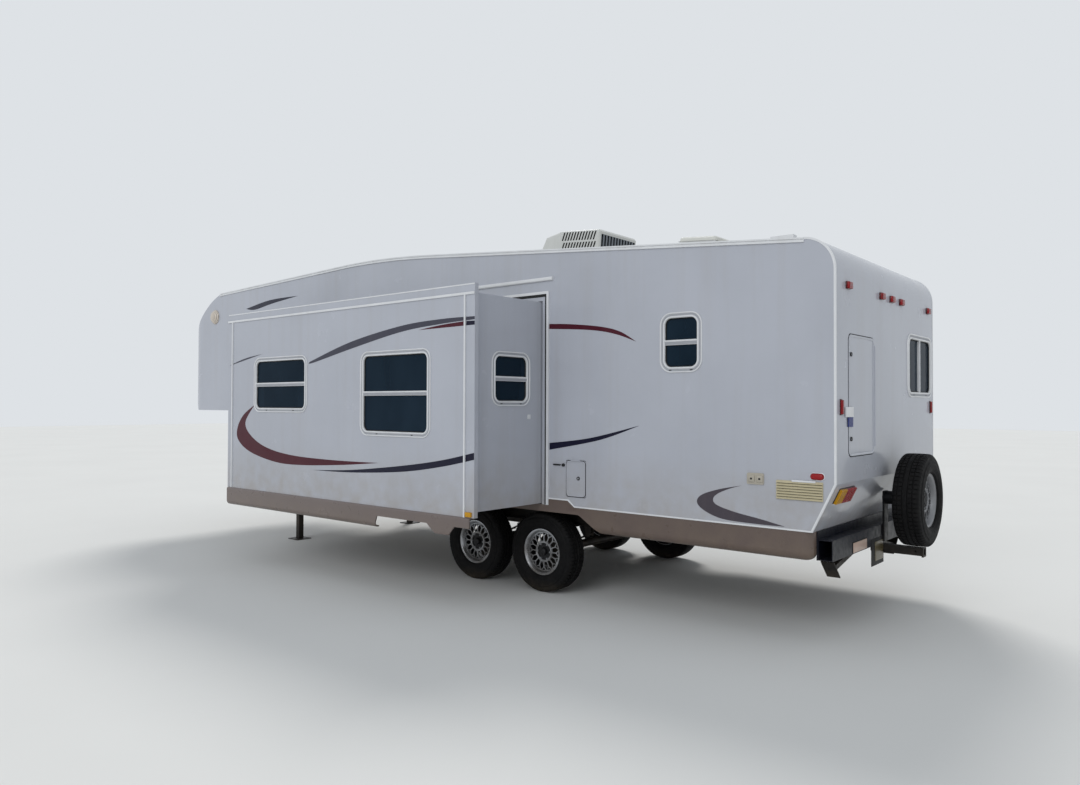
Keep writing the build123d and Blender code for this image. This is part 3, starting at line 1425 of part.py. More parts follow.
def gather():
    """Every node's shapes, by name, in the frame of the rear wall."""
    moving_doors, hinge_leaves = doors()
    frames, panes = {"body": [], "slide": []}, {"body": [], "slide": []}
    for wall, u, v, lie in WINDOWS:
        carrier = "slide" if wall.startswith("slide") else "body"
        frames[carrier].append(window_frame(wall, u, v, lie))
        panes[carrier] += window_glass(wall, u, v, lie)
    u, v = DOOR_WINDOW
    door_glass = on_wall("right", u, v, -GLASS_IN, GLASS_T - GLASS_IN, DOOR_GLASS_R)
    wheel_tyre, wheel_rim = tyre(), road_rim()
    nodes = {
        "left_wall": side_wall("left"),
        "right_wall": side_wall("right"),
        "rear_panel": rear_panel(),
        "roof_panel": roof_panel(),
        "nose_cap": nose_cap(),
        "front_wall": front_wall(),
        "floors": floors(),
        "skirts": skirts(),
        "chassis": chassis(),
        "pin_box": pin_box(),
        "landing_legs": landing_legs(),
        "axles": axles(),
        "leaf_springs": leaf_springs(),
        "spring_hangers": spring_hangers(),
        "bumper": bumper(),
        "receiver": receiver(),
        "spare_carrier": spare_carrier(),
        "window_frames": frames["body"],
        "window_glass": panes["body"],
        "gutter_rails": gutter_rails(),
        "opening_trim": opening_trim(),
        "air_conditioner": air_conditioner(),
        "vent_base": vent_base(),
        "lamps": lamps(),
        "dome_lamp": dome_lamp(),
        "louvre": louvre(),
        "wall_fittings": wall_fittings(),
        "hinge_leaves": hinge_leaves,
        "tanks": tanks(),
        "entry_step": entry_step(),
        "stabiliser_brackets": stabiliser_brackets(),
        "slide_face": slide_face(),
        "slide_ends": slide_ends(),
        "slide_roof": slide_roof(),
        "slide_floor": slide_floor(),
        "slide_skirt": slide_skirt(),
        "slide_arms": slide_arms(),
        "slide_trim": slide_trim(),
        "slide_window_frames": frames["slide"],
        "slide_window_glass": panes["slide"],
        "vent_lid": vent_lid(),
        "entry_door_glass": door_glass,
        "stabiliser_left": stabiliser(1),
        "stabiliser_right": stabiliser(-1),
        "spare_tyre": Pos(SPARE_X, SPARE_Y, SPARE_Z) * Rot(0, 0, 90) * wheel_tyre,
        "spare_rim": Pos(SPARE_X, SPARE_Y, SPARE_Z) * Rot(0, 0, 90) * spare_rim(),
    }
    nodes.update(moving_doors)
    for name, x, side in WHEELS:
        nodes["tyre_" + name] = place_wheel(wheel_tyre, x, side)
        nodes["rim_" + name] = place_wheel(wheel_rim, x, side)
    return nodes


def as_solids(shape):
    shapes = shape if isinstance(shape, list) else [shape]
    return [solid for item in shapes for solid in item.solids()]


NODES = {name: as_solids(shape) for name, shape in gather().items()}
whole = Compound([solid for solids in NODES.values() for solid in solids]).bounding_box()
SHIFT = Vector(-(whole.min.X + whole.max.X) / 2, -(whole.min.Y + whole.max.Y) / 2, -whole.min.Z)


def export():
    """Write each node's file, with the origin at the bottom centre of the whole."""
    os.makedirs("parts", exist_ok=True)
    for name, solids in NODES.items():
        moved = [solid.moved(Location(SHIFT)) for solid in solids]
        export_step(moved[0] if len(moved) == 1 else Compound(children=moved), f"parts/{name}.step")


export()
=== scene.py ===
from math import cos, pi, radians, sin

import bmesh
import bpy
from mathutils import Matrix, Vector

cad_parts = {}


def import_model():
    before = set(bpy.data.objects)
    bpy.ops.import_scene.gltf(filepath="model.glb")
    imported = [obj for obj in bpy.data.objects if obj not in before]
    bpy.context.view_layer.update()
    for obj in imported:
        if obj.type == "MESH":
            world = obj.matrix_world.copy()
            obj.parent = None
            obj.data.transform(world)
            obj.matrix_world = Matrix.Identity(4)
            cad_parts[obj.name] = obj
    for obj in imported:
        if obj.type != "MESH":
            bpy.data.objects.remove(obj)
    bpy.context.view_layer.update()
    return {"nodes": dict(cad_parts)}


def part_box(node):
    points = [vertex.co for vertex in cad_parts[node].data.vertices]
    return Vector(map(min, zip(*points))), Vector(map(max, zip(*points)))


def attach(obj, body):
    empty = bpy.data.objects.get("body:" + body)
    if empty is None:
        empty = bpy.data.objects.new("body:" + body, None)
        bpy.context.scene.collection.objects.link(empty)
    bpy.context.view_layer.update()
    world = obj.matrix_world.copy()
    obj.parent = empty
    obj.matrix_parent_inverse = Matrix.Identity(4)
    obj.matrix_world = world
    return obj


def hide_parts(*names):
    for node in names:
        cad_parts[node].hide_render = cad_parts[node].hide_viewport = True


# Looks for the travel caravan. Metres throughout. Places are given in the caravan's own
# measures: X from the rear wall's plane, Y from the centre plane, Z from the ground.

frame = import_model()

rear_low, rear_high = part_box("rear_panel")
REAR_X = rear_low.x
CENTRE_Y = (rear_low.y + rear_high.y) / 2
HALF_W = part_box("left_wall")[1].y - CENTRE_Y
WALL = 0.04  # thickness of the walls
SLIDE_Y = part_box("slide_face")[1].y - CENTRE_Y
SLIDE_END_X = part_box("slide_floor")[0].x - REAR_X - WALL
FRONT_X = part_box("front_wall")[1].x - REAR_X


def at(x, y, z):
    """A point of the caravan's own measures, in the frame."""
    return Vector((REAR_X + x, CENTRE_Y + y, z))


def own_box(node):
    """The low and high corner of a node's box, in the caravan's own measures."""
    return [corner - Vector((REAR_X, CENTRE_Y, 0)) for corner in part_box(node)]


def shrunk(span, by):
    """A range made shorter by the same length at both ends."""
    return (span[0] + by, span[1] - by)


def around(middle, half):
    """The range that reaches the same length to both sides of a place."""
    return (middle - half, middle + half)


# Node helpers

def new_material(name):
    """A material, its node tree and its shader."""
    mat = bpy.data.materials.new(name)
    mat.use_nodes = True
    tree = mat.node_tree
    return mat, tree, tree.nodes["Principled BSDF"]


def linear(rgb):
    """A colour written as 0 to 255 sRGB, in linear light."""
    shares = [c / 255 for c in rgb]
    return (*(s / 12.92 if s <= 0.04045 else ((s + 0.055) / 1.055) ** 2.4 for s in shares), 1.0)


def toned(colour, by, plus=0.0):
    """A linear colour made darker or paler."""
    return (*(min(1, c * by + plus) for c in colour[:3]), 1.0)


def object_place(tree):
    """The shaded point, in the object's own metres."""
    return tree.nodes.new("ShaderNodeTexCoord").outputs["Object"]


def axes(tree, place):
    """The X, Y and Z of a place."""
    split = tree.nodes.new("ShaderNodeSeparateXYZ")
    tree.links.new(place, split.inputs["Vector"])
    return split.outputs


def noise(tree, scale, detail, stretch=(1, 1, 1)):
    """Noise in the object's own metres."""
    mapping = tree.nodes.new("ShaderNodeMapping")
    mapping.inputs["Scale"].default_value = stretch
    tex = tree.nodes.new("ShaderNodeTexNoise")
    tex.inputs["Scale"].default_value = scale
    tex.inputs["Detail"].default_value = detail
    tex.inputs["Roughness"].default_value = 0.55
    tree.links.new(object_place(tree), mapping.inputs["Vector"])
    tree.links.new(mapping.outputs["Vector"], tex.inputs["Vector"])
    return tex.outputs["Fac"]


def ramp(tree, value, stops):
    """A colour ramp over a value, from (position, colour) pairs."""
    node = tree.nodes.new("ShaderNodeValToRGB")
    elements = node.color_ramp.elements
    while len(elements) < len(stops):
        elements.new(0.5)
    for element, (place, colour) in zip(elements, stops):
        element.position = place
        element.color = colour
    tree.links.new(value, node.inputs["Fac"])
    return node.outputs["Color"]


def to_range(tree, value, low, high, start=0.3, end=0.7):
    """A value moved from the range start to end into the range low to high."""
    node = tree.nodes.new("ShaderNodeMapRange")
    for socket, number in (("From Min", start), ("From Max", end), ("To Min", low), ("To Max", high)):
        node.inputs[socket].default_value = number
    tree.links.new(value, node.inputs["Value"])
    return node.outputs["Result"]


MIX_SHARE, MIX_UNDER, MIX_OVER, MIX_RESULT = 0, 6, 7, 2  # the Mix node's sockets for colours


def over(tree, share, under, colour):
    """A plain colour laid over another one, as far as a share says."""
    node = tree.nodes.new("ShaderNodeMix")
    node.data_type = "RGBA"
    tree.links.new(share, node.inputs[MIX_SHARE])
    tree.links.new(under, node.inputs[MIX_UNDER])
    node.inputs[MIX_OVER].default_value = colour
    return node.outputs[MIX_RESULT]


def combined(tree, operation, a, b):
    """Two values put together by a named operation."""
    node = tree.nodes.new("ShaderNodeMath")
    node.operation = operation
    tree.links.new(a, node.inputs[0])
    tree.links.new(b, node.inputs[1])
    return node.outputs[0]


def height_share(tree, low, high):
    """1 at height low, falling to 0 at height high."""
    return to_range(tree, axes(tree, object_place(tree))["Z"], 1.0, 0.0, low, high)


def bump(tree, shader, value, strength, distance):
    """Relief on a shader, as a value has it."""
    node = tree.nodes.new("ShaderNodeBump")
    node.inputs["Strength"].default_value = strength
    node.inputs["Distance"].default_value = distance
    tree.links.new(value, node.inputs["Height"])
    tree.links.new(node.outputs["Normal"], shader.inputs["Normal"])


DUST_FOOT = 0.45  # dust is thickest below this height


def coated(name, colour, dirt, rough, grain, dirt_to=0.0, coat=0.0, metal=0.0, patch=2.5, streaks=0.0,
           gloss=0.5):
    """A painted or moulded surface: slow patches of tone, fine grain, streaks, and dust up to a height.

    Rough is the range of roughness, grain the scale and strength of the fine bump, and patch the
    scale of the patches.
    """
    mat, tree, shader = new_material(name)
    base, soil = linear(colour), linear(dirt)
    tone = ramp(tree, noise(tree, patch, 5), [(0.35, toned(base, 0.93)), (0.65, base)])
    if streaks:
        runs = to_range(tree, noise(tree, 9, 6, (1, 1, 0.05)), 0, streaks, 0.5, 0.75)
        tone = over(tree, runs, tone, soil)
    if dirt_to:
        spots = to_range(tree, noise(tree, 7, 8), 0.15, 0.9)
        dust = combined(tree, "MULTIPLY", height_share(tree, DUST_FOOT, dirt_to), spots)
        tone = over(tree, dust, tone, soil)
    tree.links.new(tone, shader.inputs["Base Color"])
    tree.links.new(to_range(tree, noise(tree, patch * 4, 6), *rough), shader.inputs["Roughness"])
    shader.inputs["Metallic"].default_value = metal
    shader.inputs["Specular IOR Level"].default_value = gloss
    shader.inputs["Coat Weight"].default_value = coat
    shader.inputs["Coat Roughness"].default_value = 0.08
    bump(tree, shader, noise(tree, grain[0], 3), grain[1], 0.002)
    return mat


def film(name, colour, worn):
    """A printed stripe: a thin film with little shine."""
    return coated(name, colour, worn, (0.3, 0.45), (40, 0.04), coat=0.05, patch=2, streaks=0.15, gloss=0.2)


def glassy(name, colour, alpha):
    """Tinted glass with faint smears. What lies behind it shows through a little."""
    mat, tree, shader = new_material(name)
    tint = linear(colour)
    stops = [(0.35, tint), (0.7, toned(tint, 1.6, 0.004))]
    tree.links.new(ramp(tree, noise(tree, 1.6, 3, (1, 1, 0.4)), stops), shader.inputs["Base Color"])
    tree.links.new(to_range(tree, noise(tree, 5, 7), 0.02, 0.06), shader.inputs["Roughness"])
    shader.inputs["Alpha"].default_value = alpha
    shader.inputs["Specular IOR Level"].default_value = 0.03
    return mat


def inside_share(tree, foot, lean, low, high):
    """1 inside a box, 0 outside it. The box is measured from a foot point and then leans about Y."""
    mapping = tree.nodes.new("ShaderNodeMapping")
    mapping.vector_type = "TEXTURE"
    mapping.inputs["Location"].default_value = foot
    mapping.inputs["Rotation"].default_value = (0, -lean, 0)
    tree.links.new(object_place(tree), mapping.inputs["Vector"])
    place = axes(tree, mapping.outputs["Vector"])
    share = None
    for axis, a, b in zip("XYZ", low, high):
        near = tree.nodes.new("ShaderNodeMath")
        near.operation = "COMPARE"
        near.inputs[1].default_value = (a + b) / 2
        near.inputs[2].default_value = (b - a) / 2
        tree.links.new(place[axis], near.inputs[0])
        inside = near.outputs[0]
        share = inside if share is None else combined(tree, "MULTIPLY", share, inside)
    return share


def painted_shade_in_boxes(mat, foot, lean, boxes, colour):
    """Painted shade: a plain darker colour inside some leaning boxes, for slots that no light reaches and for
    faces that lie in shade.
    """
    tree = mat.node_tree
    shader = tree.nodes["Principled BSDF"]
    tone = shader.inputs["Base Color"].links[0].from_socket
    for low, high in boxes:
        tone = over(tree, inside_share(tree, foot, lean, low, high), tone, linear(colour))
    tree.links.new(tone, shader.inputs["Base Color"])


WAVE_STEP = 20  # the wave node's own factor between its place and its phase


def ribbed(name, colour, pitch, axis, depth=0.5):
    """A lamp lens with fine moulded ribs."""
    mat, tree, shader = new_material(name)
    base = linear(colour)
    wave = tree.nodes.new("ShaderNodeTexWave")
    wave.bands_direction = axis
    wave.inputs["Scale"].default_value = 2 * pi / (WAVE_STEP * pitch)
    tree.links.new(object_place(tree), wave.inputs["Vector"])
    tone = ramp(tree, wave.outputs["Fac"], [(0.1, toned(base, 0.55)), (0.8, base)])
    tree.links.new(tone, shader.inputs["Base Color"])
    tree.links.new(to_range(tree, noise(tree, 30, 4), 0.15, 0.3), shader.inputs["Roughness"])
    shader.inputs["Specular IOR Level"].default_value = 0.3
    shader.inputs["Coat Weight"].default_value = 0.1
    bump(tree, shader, wave.outputs["Fac"], depth, 0.002)
    return mat


def tyre_rubber():
    """Black rubber, worn in patches, with dust on the part near the ground."""
    mat, tree, shader = new_material("tyre_rubber")
    fresh, worn, dust = linear((13, 13, 14)), linear((23, 22, 22)), linear((78, 69, 56))
    tone = ramp(tree, noise(tree, 14, 6), [(0.35, fresh), (0.7, worn)])
    spots = to_range(tree, noise(tree, 22, 8), 0.05, 0.6)
    foot = combined(tree, "MULTIPLY", height_share(tree, 0.0, 0.12), spots)
    tree.links.new(over(tree, foot, tone, dust), shader.inputs["Base Color"])
    tree.links.new(to_range(tree, noise(tree, 40, 5), 0.6, 0.8), shader.inputs["Roughness"])
    shader.inputs["Specular IOR Level"].default_value = 0.15
    bump(tree, shader, noise(tree, 420, 3), 0.3, 0.001)
    return mat


# Materials

SKIN = coated("gelcoat", (184, 187, 196), (160, 151, 140), (0.14, 0.28), (26, 0.05), dirt_to=1.3, coat=0.15,
              patch=1.1, streaks=0.12, gloss=0.25)
ROOF = coated("roof_membrane", (196, 196, 192), (120, 112, 102), (0.6, 0.8), (90, 0.25), streaks=0.3)
TAUPE = coated("taupe_paint", (98, 84, 79), (122, 107, 92), (0.25, 0.42), (120, 0.08), dirt_to=0.95,
               coat=0.15, patch=3, gloss=0.35)
SLIDE_TAUPE = coated("slide_skirt_paint", (116, 104, 100), (128, 114, 98), (0.25, 0.4), (120, 0.08),
                     dirt_to=0.75, coat=0.2, gloss=0.35)
BLACK = coated("chassis_paint", (16, 17, 20), (64, 57, 49), (0.35, 0.6), (180, 0.3), dirt_to=0.8, patch=6,
               gloss=0.2)
BUMPER = coated("bumper_paint", (14, 17, 28), (52, 50, 50), (0.3, 0.5), (150, 0.2), dirt_to=0.68, patch=5,
                gloss=0.25)
TRIM = coated("white_trim", (226, 227, 229), (160, 156, 148), (0.28, 0.42), (140, 0.08), coat=0.2, patch=5,
              streaks=0.12)
# Painted shade: a grey for the window frames' grooves and the bars' low flats, where less light falls.
GROOVE_SHADE = coated("grey_groove_shade", (164, 166, 172), (96, 92, 88), (0.5, 0.7), (200, 0.15), patch=9)
CREAM = coated("cream_plastic", (196, 185, 152), (132, 120, 94), (0.4, 0.55), (220, 0.12), coat=0.1, patch=14)
BEIGE = coated("beige_plastic", (178, 171, 157), (124, 116, 98), (0.4, 0.55), (220, 0.12), coat=0.1, patch=14)
# The shroud's own pale colour; painted shade is added in its slots and on its rear bars further down.
SHROUD_AND_SLOT_SHADE = coated("ac_shroud_and_slot_shade", (212, 213, 210), (150, 146, 136), (0.4, 0.55), (260, 0.2), coat=0.1, patch=5,
                streaks=0.2)
PALE_PLASTIC = coated("vent_plastic", (224, 224, 218), (160, 154, 140), (0.35, 0.5), (200, 0.1), coat=0.1)
BLACK_PLASTIC = coated("black_plastic", (22, 22, 23), (90, 80, 68), (0.45, 0.65), (240, 0.25), dirt_to=0.8,
                       patch=8)
BOARD = coated("underfloor_board", (112, 100, 88), (84, 76, 66), (0.6, 0.8), (60, 0.4), dirt_to=0.8, patch=4)
# Black rubber; also used for dark strips of painted shade in gaps, slots and holes.
RUBBER_AND_SHADE = coated("black_rubber_and_painted_shade", (20, 20, 21), (70, 64, 58), (0.6, 0.8), (300, 0.25), patch=20)
ALLOY = coated("alloy", (184, 186, 190), (104, 98, 92), (0.22, 0.4), (160, 0.1), dirt_to=0.5, coat=0.2,
               metal=0.8, patch=30)
DULL_ALLOY = coated("dull_alloy", (136, 137, 140), (76, 70, 64), (0.35, 0.5), (160, 0.15), coat=0.1,
                    metal=0.7, patch=30)
# The dark hub, also used as painted shade on the inside of the rims' barrels.
HUB = coated("hub_dark", (30, 30, 32), (66, 60, 54), (0.4, 0.6), (160, 0.3), metal=0.4, patch=30)
GLASS = glassy("window_glass", (22, 36, 48), 0.94)
BLIND = coated("blind", (196, 196, 192), (150, 146, 140), (0.5, 0.7), (120, 0.1), patch=6)
RED = ribbed("red_lens", (150, 12, 20), 0.012, "Y")
# Painted shade: a darker copy of the red lens for the rear lamps' bases, whose sides lie in shade.
SHADED_RED = ribbed("red_lens_painted_shade", (84, 10, 16), 0.012, "Y", depth=0.1)
AMBER = ribbed("amber_lens", (198, 144, 24), 0.012, "Y")
PALE_LENS = ribbed("dome_lens", (226, 214, 200), 0.02, "X", depth=0.2)
MAROON = film("decal_maroon", (74, 18, 34), (100, 58, 64))
NAVY = film("decal_navy", (18, 18, 42), (56, 56, 74))
GREY = film("decal_grey", (68, 68, 80), (104, 102, 106))
DARK = film("decal_dark", (50, 51, 64), (84, 82, 86))
DUSK = film("decal_taupe", (76, 70, 77), (108, 100, 98))
KHAKI = coated("plate_khaki", (94, 84, 56), (84, 76, 58), (0.35, 0.5), (120, 0.1), coat=0.1, patch=12)
ROSE = coated("plate_pale", (196, 168, 152), (150, 124, 108), (0.35, 0.5), (120, 0.1), coat=0.1, patch=12)
BLUE = coated("tag_blue", (26, 44, 116), (64, 70, 96), (0.3, 0.45), (90, 0.1), patch=20, gloss=0.2)
TYRE = tyre_rubber()

# The roof unit's slots: boxes from its foot, before it leans with the roof. Painted shade goes in these
# boxes.
ROOF_LEAN = 0.0852
AC_FOOT = at(2.640, 0.020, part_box("air_conditioner")[0].z - 0.003)
AC_FLANK_SLOTS = ((0.030, -0.324, 0.122), (0.500, 0.324, 0.321))
AC_REAR_SLOTS = ((0.006, -0.300, 0.055), (0.026, 0.300, 0.295))
AC_REAR_BARS = ((-0.002, -0.296, 0.058), (0.006, 0.296, 0.292))
# Painted shade: the slots' sides and floors near black, as no light reaches into them.
painted_shade_in_boxes(SHROUD_AND_SLOT_SHADE, AC_FOOT, ROOF_LEAN, (AC_FLANK_SLOTS, AC_REAR_SLOTS), (26, 27, 30))
# Painted shade: the bars between the rear slots a darker grey-blue, for the shade on the unit's rear face.
painted_shade_in_boxes(SHROUD_AND_SLOT_SHADE, AC_FOOT, ROOF_LEAN, (AC_REAR_BARS,), (112, 118, 126))

NODE_MATERIALS = {
    SKIN: ["left_wall", "right_wall", "rear_panel", "nose_cap", "front_wall", "slide_face", "slide_ends",
           "rear_hatch", "service_door", "entry_door", "storage_door", "front_hatch", "hinge_leaves"],
    ROOF: ["roof_panel", "slide_roof"],
    TAUPE: ["skirts"],
    SLIDE_TAUPE: ["slide_skirt"],
    BLACK: ["chassis", "pin_box", "landing_legs", "axles", "leaf_springs", "spring_hangers", "receiver",
            "spare_carrier", "stabiliser_brackets", "stabiliser_left", "stabiliser_right", "entry_step",
            "slide_arms"],
    BUMPER: ["bumper"],
    TRIM: ["gutter_rails", "opening_trim", "slide_trim", "vent_base"],
    CREAM: ["louvre"],
    BEIGE: ["wall_fittings"],
    SHROUD_AND_SLOT_SHADE: ["air_conditioner"],
    PALE_PLASTIC: ["vent_lid"],
    BLACK_PLASTIC: ["tanks"],
    BOARD: ["floors", "slide_floor"],
    GLASS: ["window_glass", "slide_window_glass", "entry_door_glass"],
    PALE_LENS: ["dome_lamp"],
}
for mat, names in NODE_MATERIALS.items():
    for name in names:
        data = frame["nodes"][name].data
        data.materials.clear()
        data.materials.append(mat)


# Mesh helpers. A shape is a pair: vertices and faces.

def linked(name, mesh, mat, body):
    """An object with one material, which rides on a body."""
    obj = bpy.data.objects.new(name, mesh)
    bpy.context.collection.objects.link(obj)
    mesh.materials.append(mat)
    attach(obj, body)
    return obj


def write_mesh(data, mesh):
    """Write a bmesh to a mesh, its faces turned outwards."""
    bmesh.ops.recalc_face_normals(data, faces=data.faces)
    data.to_mesh(mesh)
    data.free()


def open_mesh(mesh, shape):
    """A bmesh of a shape, by way of the mesh that it will be written to."""
    verts, faces = shape
    mesh.from_pydata([tuple(v) for v in verts], [], faces)
    data = bmesh.new()
    data.from_mesh(mesh)
    return data


def piece(name, shape, mat, body, smooth):
    """A piece made of a shape. Smooth is the largest angle, in degrees, that shades smooth."""
    mesh = bpy.data.meshes.new(name)
    write_mesh(open_mesh(mesh, shape), mesh)
    mesh.shade_smooth()
    mesh.set_sharp_from_angle(angle=radians(smooth))
    return linked(name, mesh, mat, body)


def inlaid(obj, faces, mat):
    """A second material on some of a piece's faces."""
    obj.data.materials.append(mat)
    for index in faces:
        obj.data.polygons[index].material_index = 1


def tube(rings, capped):
    """A shape through equal rings of points, with capped ends or the last ring joined to the first."""
    count, last = len(rings[0]), len(rings) - 1
    verts = [point for ring in rings for point in ring]
    pairs = [(k, k + 1) for k in range(last)]
    if not capped:
        pairs.append((last, 0))
    faces = []
    for a, b in pairs:
        for j in range(count):
            k = (j + 1) % count
            faces.append((a * count + j, a * count + k, b * count + k, b * count + j))
    if capped:
        faces += [tuple(range(count)), tuple(range(last * count, (last + 1) * count))]
    return verts, faces


def joined(shapes):
    """Several shapes as one."""
    verts, faces = [], []
    for more_verts, more_faces in shapes:
        base = len(verts)
        verts += more_verts
        faces += [tuple(base + i for i in face) for face in more_faces]
    return verts, faces


def wall_point(wall, u, v, out):
    """A point on a wall: u along it, v up, out from its face."""
    if wall == "left":
        return at(u, HALF_W + out, v)
    if wall == "right":
        return at(u, -HALF_W - out, v)
    if wall == "rear":
        return at(-out, u, v)
    if wall == "front":
        return at(FRONT_X + out, u, v)
    if wall == "slide_face":
        return at(u, SLIDE_Y + out, v)
    return at(SLIDE_END_X - out, u, v)


def rounded(u, v, radius, steps):
    """Points round a rectangle with round corners."""
    points = []
    corners = [(u[1], v[1], 0), (u[0], v[1], 90), (u[0], v[0], 180), (u[1], v[0], 270)]
    for cu, cv, start in corners:
        mu = cu - radius if cu == u[1] else cu + radius
        mv = cv - radius if cv == v[1] else cv + radius
        for k in range(steps + 1):
            angle = radians(start + 90 * k / steps)
            points.append((mu + radius * cos(angle), mv + radius * sin(angle)))
    return points


LEAST_R = 0.0005  # a corner stays at least this round where it is moved in


def wall_ring(wall, u, v, radius, inset, out, steps):
    """A rounded rectangle on a wall, moved in from its edge and out from the wall's face."""
    ring = rounded(shrunk(u, inset), shrunk(v, inset), max(radius - inset, LEAST_R), steps)
    return [wall_point(wall, a, b, out) for a, b in ring]


def swept_frame(name, wall, u, v, radius, profile, mat, body, steps=8):
    """A closed profile of (inset, out) points, swept round a rounded rectangle."""
    rings = [wall_ring(wall, u, v, radius, inset, out, steps) for inset, out in profile]
    return piece(name, tube(rings, capped=False), mat, body, 40)


def raised_plate(name, wall, u, v, radius, low, high, mat, body="trailer", edge=0.002, steps=6):
    """A plate with round corners and a softened front edge, from low to high above the wall."""
    soft = [(0, low), (0, high - edge), (edge * 0.3, high - edge * 0.3), (edge, high)]
    rings = [wall_ring(wall, u, v, radius, inset, out, steps) for inset, out in soft]
    return piece(name, tube(rings, capped=True), mat, body, 50)


def bar_shape(wall, section, ends, upright=False):
    """A closed section of (across, out) points, drawn between two ends along the wall."""
    rings = []
    for end in ends:
        places = [(a, end, o) if upright else (end, a, o) for a, o in section]
        rings.append([wall_point(wall, u, v, out) for u, v, out in places])
    return tube(rings, capped=True)


def bar(name, wall, section, ends, mat, body, upright=False):
    """A straight moulding."""
    return piece(name, bar_shape(wall, section, ends, upright), mat, body, 35)


# Stripes

CURVE_STEPS = 7
DECAL_IN, DECAL_OUT = -0.0005, 0.0009


def on_curve(t, a, b, c, d):
    """One measure of a smooth curve, a share t of the way from b to c. Its neighbours are a and d."""
    return 0.5 * (2 * b + (c - a) * t + (2 * a - 5 * b + 4 * c - d) * t * t
                  + (3 * b - a - 3 * c + d) * t ** 3)


def through(points):
    """A smooth curve through a list of points."""
    padded = [points[0], *points, points[-1]]
    out = []
    for four in zip(padded, padded[1:], padded[2:], padded[3:]):
        for k in range(CURVE_STEPS):
            out.append(tuple(on_curve(k / CURVE_STEPS, *measures) for measures in zip(*four)))
    return out + [points[-1]]


def decal(name, wall, upper, lower, mat, body):
    """A stripe between two smooth edges, as a thin film on the wall."""
    outline, back = through(upper), through(lower)
    if outline[-1] == back[0]:
        back = back[1:]
    if outline[0] == back[-1]:
        back = back[:-1]
    rings = [[wall_point(wall, u, v, out) for u, v in outline + back] for out in (DECAL_IN, DECAL_OUT)]
    mesh = bpy.data.meshes.new(name)
    data = open_mesh(mesh, tube(rings, capped=True))
    bmesh.ops.triangulate(data, faces=[f for f in data.faces if len(f.verts) > 4])
    write_mesh(data, mesh)
    return linked(name, mesh, mat, body)


# Each stripe has an upper and a lower edge of (X, Z) points. An end that both edges share is a tip.
STRIPES = [
    ("stripe_wall_maroon", "left", MAROON, "trailer",
     [(2.531, 2.401), (2.299, 2.385), (1.979, 2.345), (1.776, 2.292), (1.619, 2.202)],
     [(1.619, 2.202), (1.826, 2.274), (2.084, 2.322), (2.531, 2.357)]),
    ("stripe_wall_navy", "left", NAVY, "trailer",
     [(2.525, 1.349), (2.081, 1.405), (1.580, 1.521)],
     [(1.580, 1.521), (1.977, 1.392), (2.524, 1.289)]),
    ("crescent_wall", "left", DUSK, "trailer",
     [(0.691, 1.096), (0.869, 1.058), (1.012, 1.010), (1.063, 0.960), (1.037, 0.909), (0.936, 0.858),
      (0.804, 0.831), (0.550, 0.824), (0.362, 0.826)],
     [(0.362, 0.826), (0.550, 0.863), (0.747, 0.896), (0.894, 0.936), (0.927, 0.979), (0.886, 1.023),
      (0.787, 1.067), (0.691, 1.096)]),
    ("crescent_front", "left", DARK, "trailer",
     [(7.591, 2.909), (7.031, 2.978), (6.418, 2.981)],
     [(6.418, 2.981), (6.980, 2.931), (7.377, 2.884), (7.591, 2.909)]),
    ("stripe_slide_grey", "slide_face", GREY, "slide_room",
     [(4.835, 2.099), (4.182, 2.264), (3.472, 2.370), (2.962, 2.397), (2.562, 2.395)],
     [(2.562, 2.370), (2.962, 2.356), (3.471, 2.317), (4.181, 2.199), (4.785, 2.087), (4.835, 2.099)]),
    ("stripe_slide_maroon", "slide_face", MAROON, "slide_room",
     [(3.236, 2.321), (2.962, 2.347), (2.678, 2.362)],
     [(2.678, 2.326), (2.842, 2.324), (3.236, 2.321)]),
    ("stripe_slide_corner", "slide_face", NAVY, "slide_room",
     [(2.658, 2.362), (2.562, 2.359)], [(2.562, 2.327), (2.658, 2.326)]),
    ("stripe_slide_front", "slide_face", GREY, "slide_room",
     [(6.353, 2.103), (6.000, 2.160), (5.685, 2.210)],
     [(5.685, 2.210), (6.000, 2.178), (6.247, 2.130), (6.353, 2.103)]),
    ("swoosh_slide_maroon", "slide_face", MAROON, "slide_room",
     [(5.833, 1.674), (6.052, 1.566), (6.173, 1.423), (6.150, 1.293), (5.904, 1.173), (5.422, 1.090),
      (4.975, 1.081), (4.322, 1.114), (3.762, 1.160)],
     [(3.762, 1.160), (4.479, 1.154), (5.152, 1.173), (5.613, 1.237), (5.907, 1.354), (6.010, 1.491),
      (5.833, 1.674)]),
    ("stripe_slide_navy", "slide_face", NAVY, "slide_room",
     [(4.771, 1.043), (4.168, 1.053), (3.460, 1.097), (2.953, 1.166), (2.562, 1.243)],
     [(2.562, 1.299), (2.953, 1.220), (3.461, 1.149), (4.168, 1.076), (4.771, 1.043)]),
]
for name, wall, mat, body, upper, lower in STRIPES:
    decal(name, wall, upper, lower, mat, body)

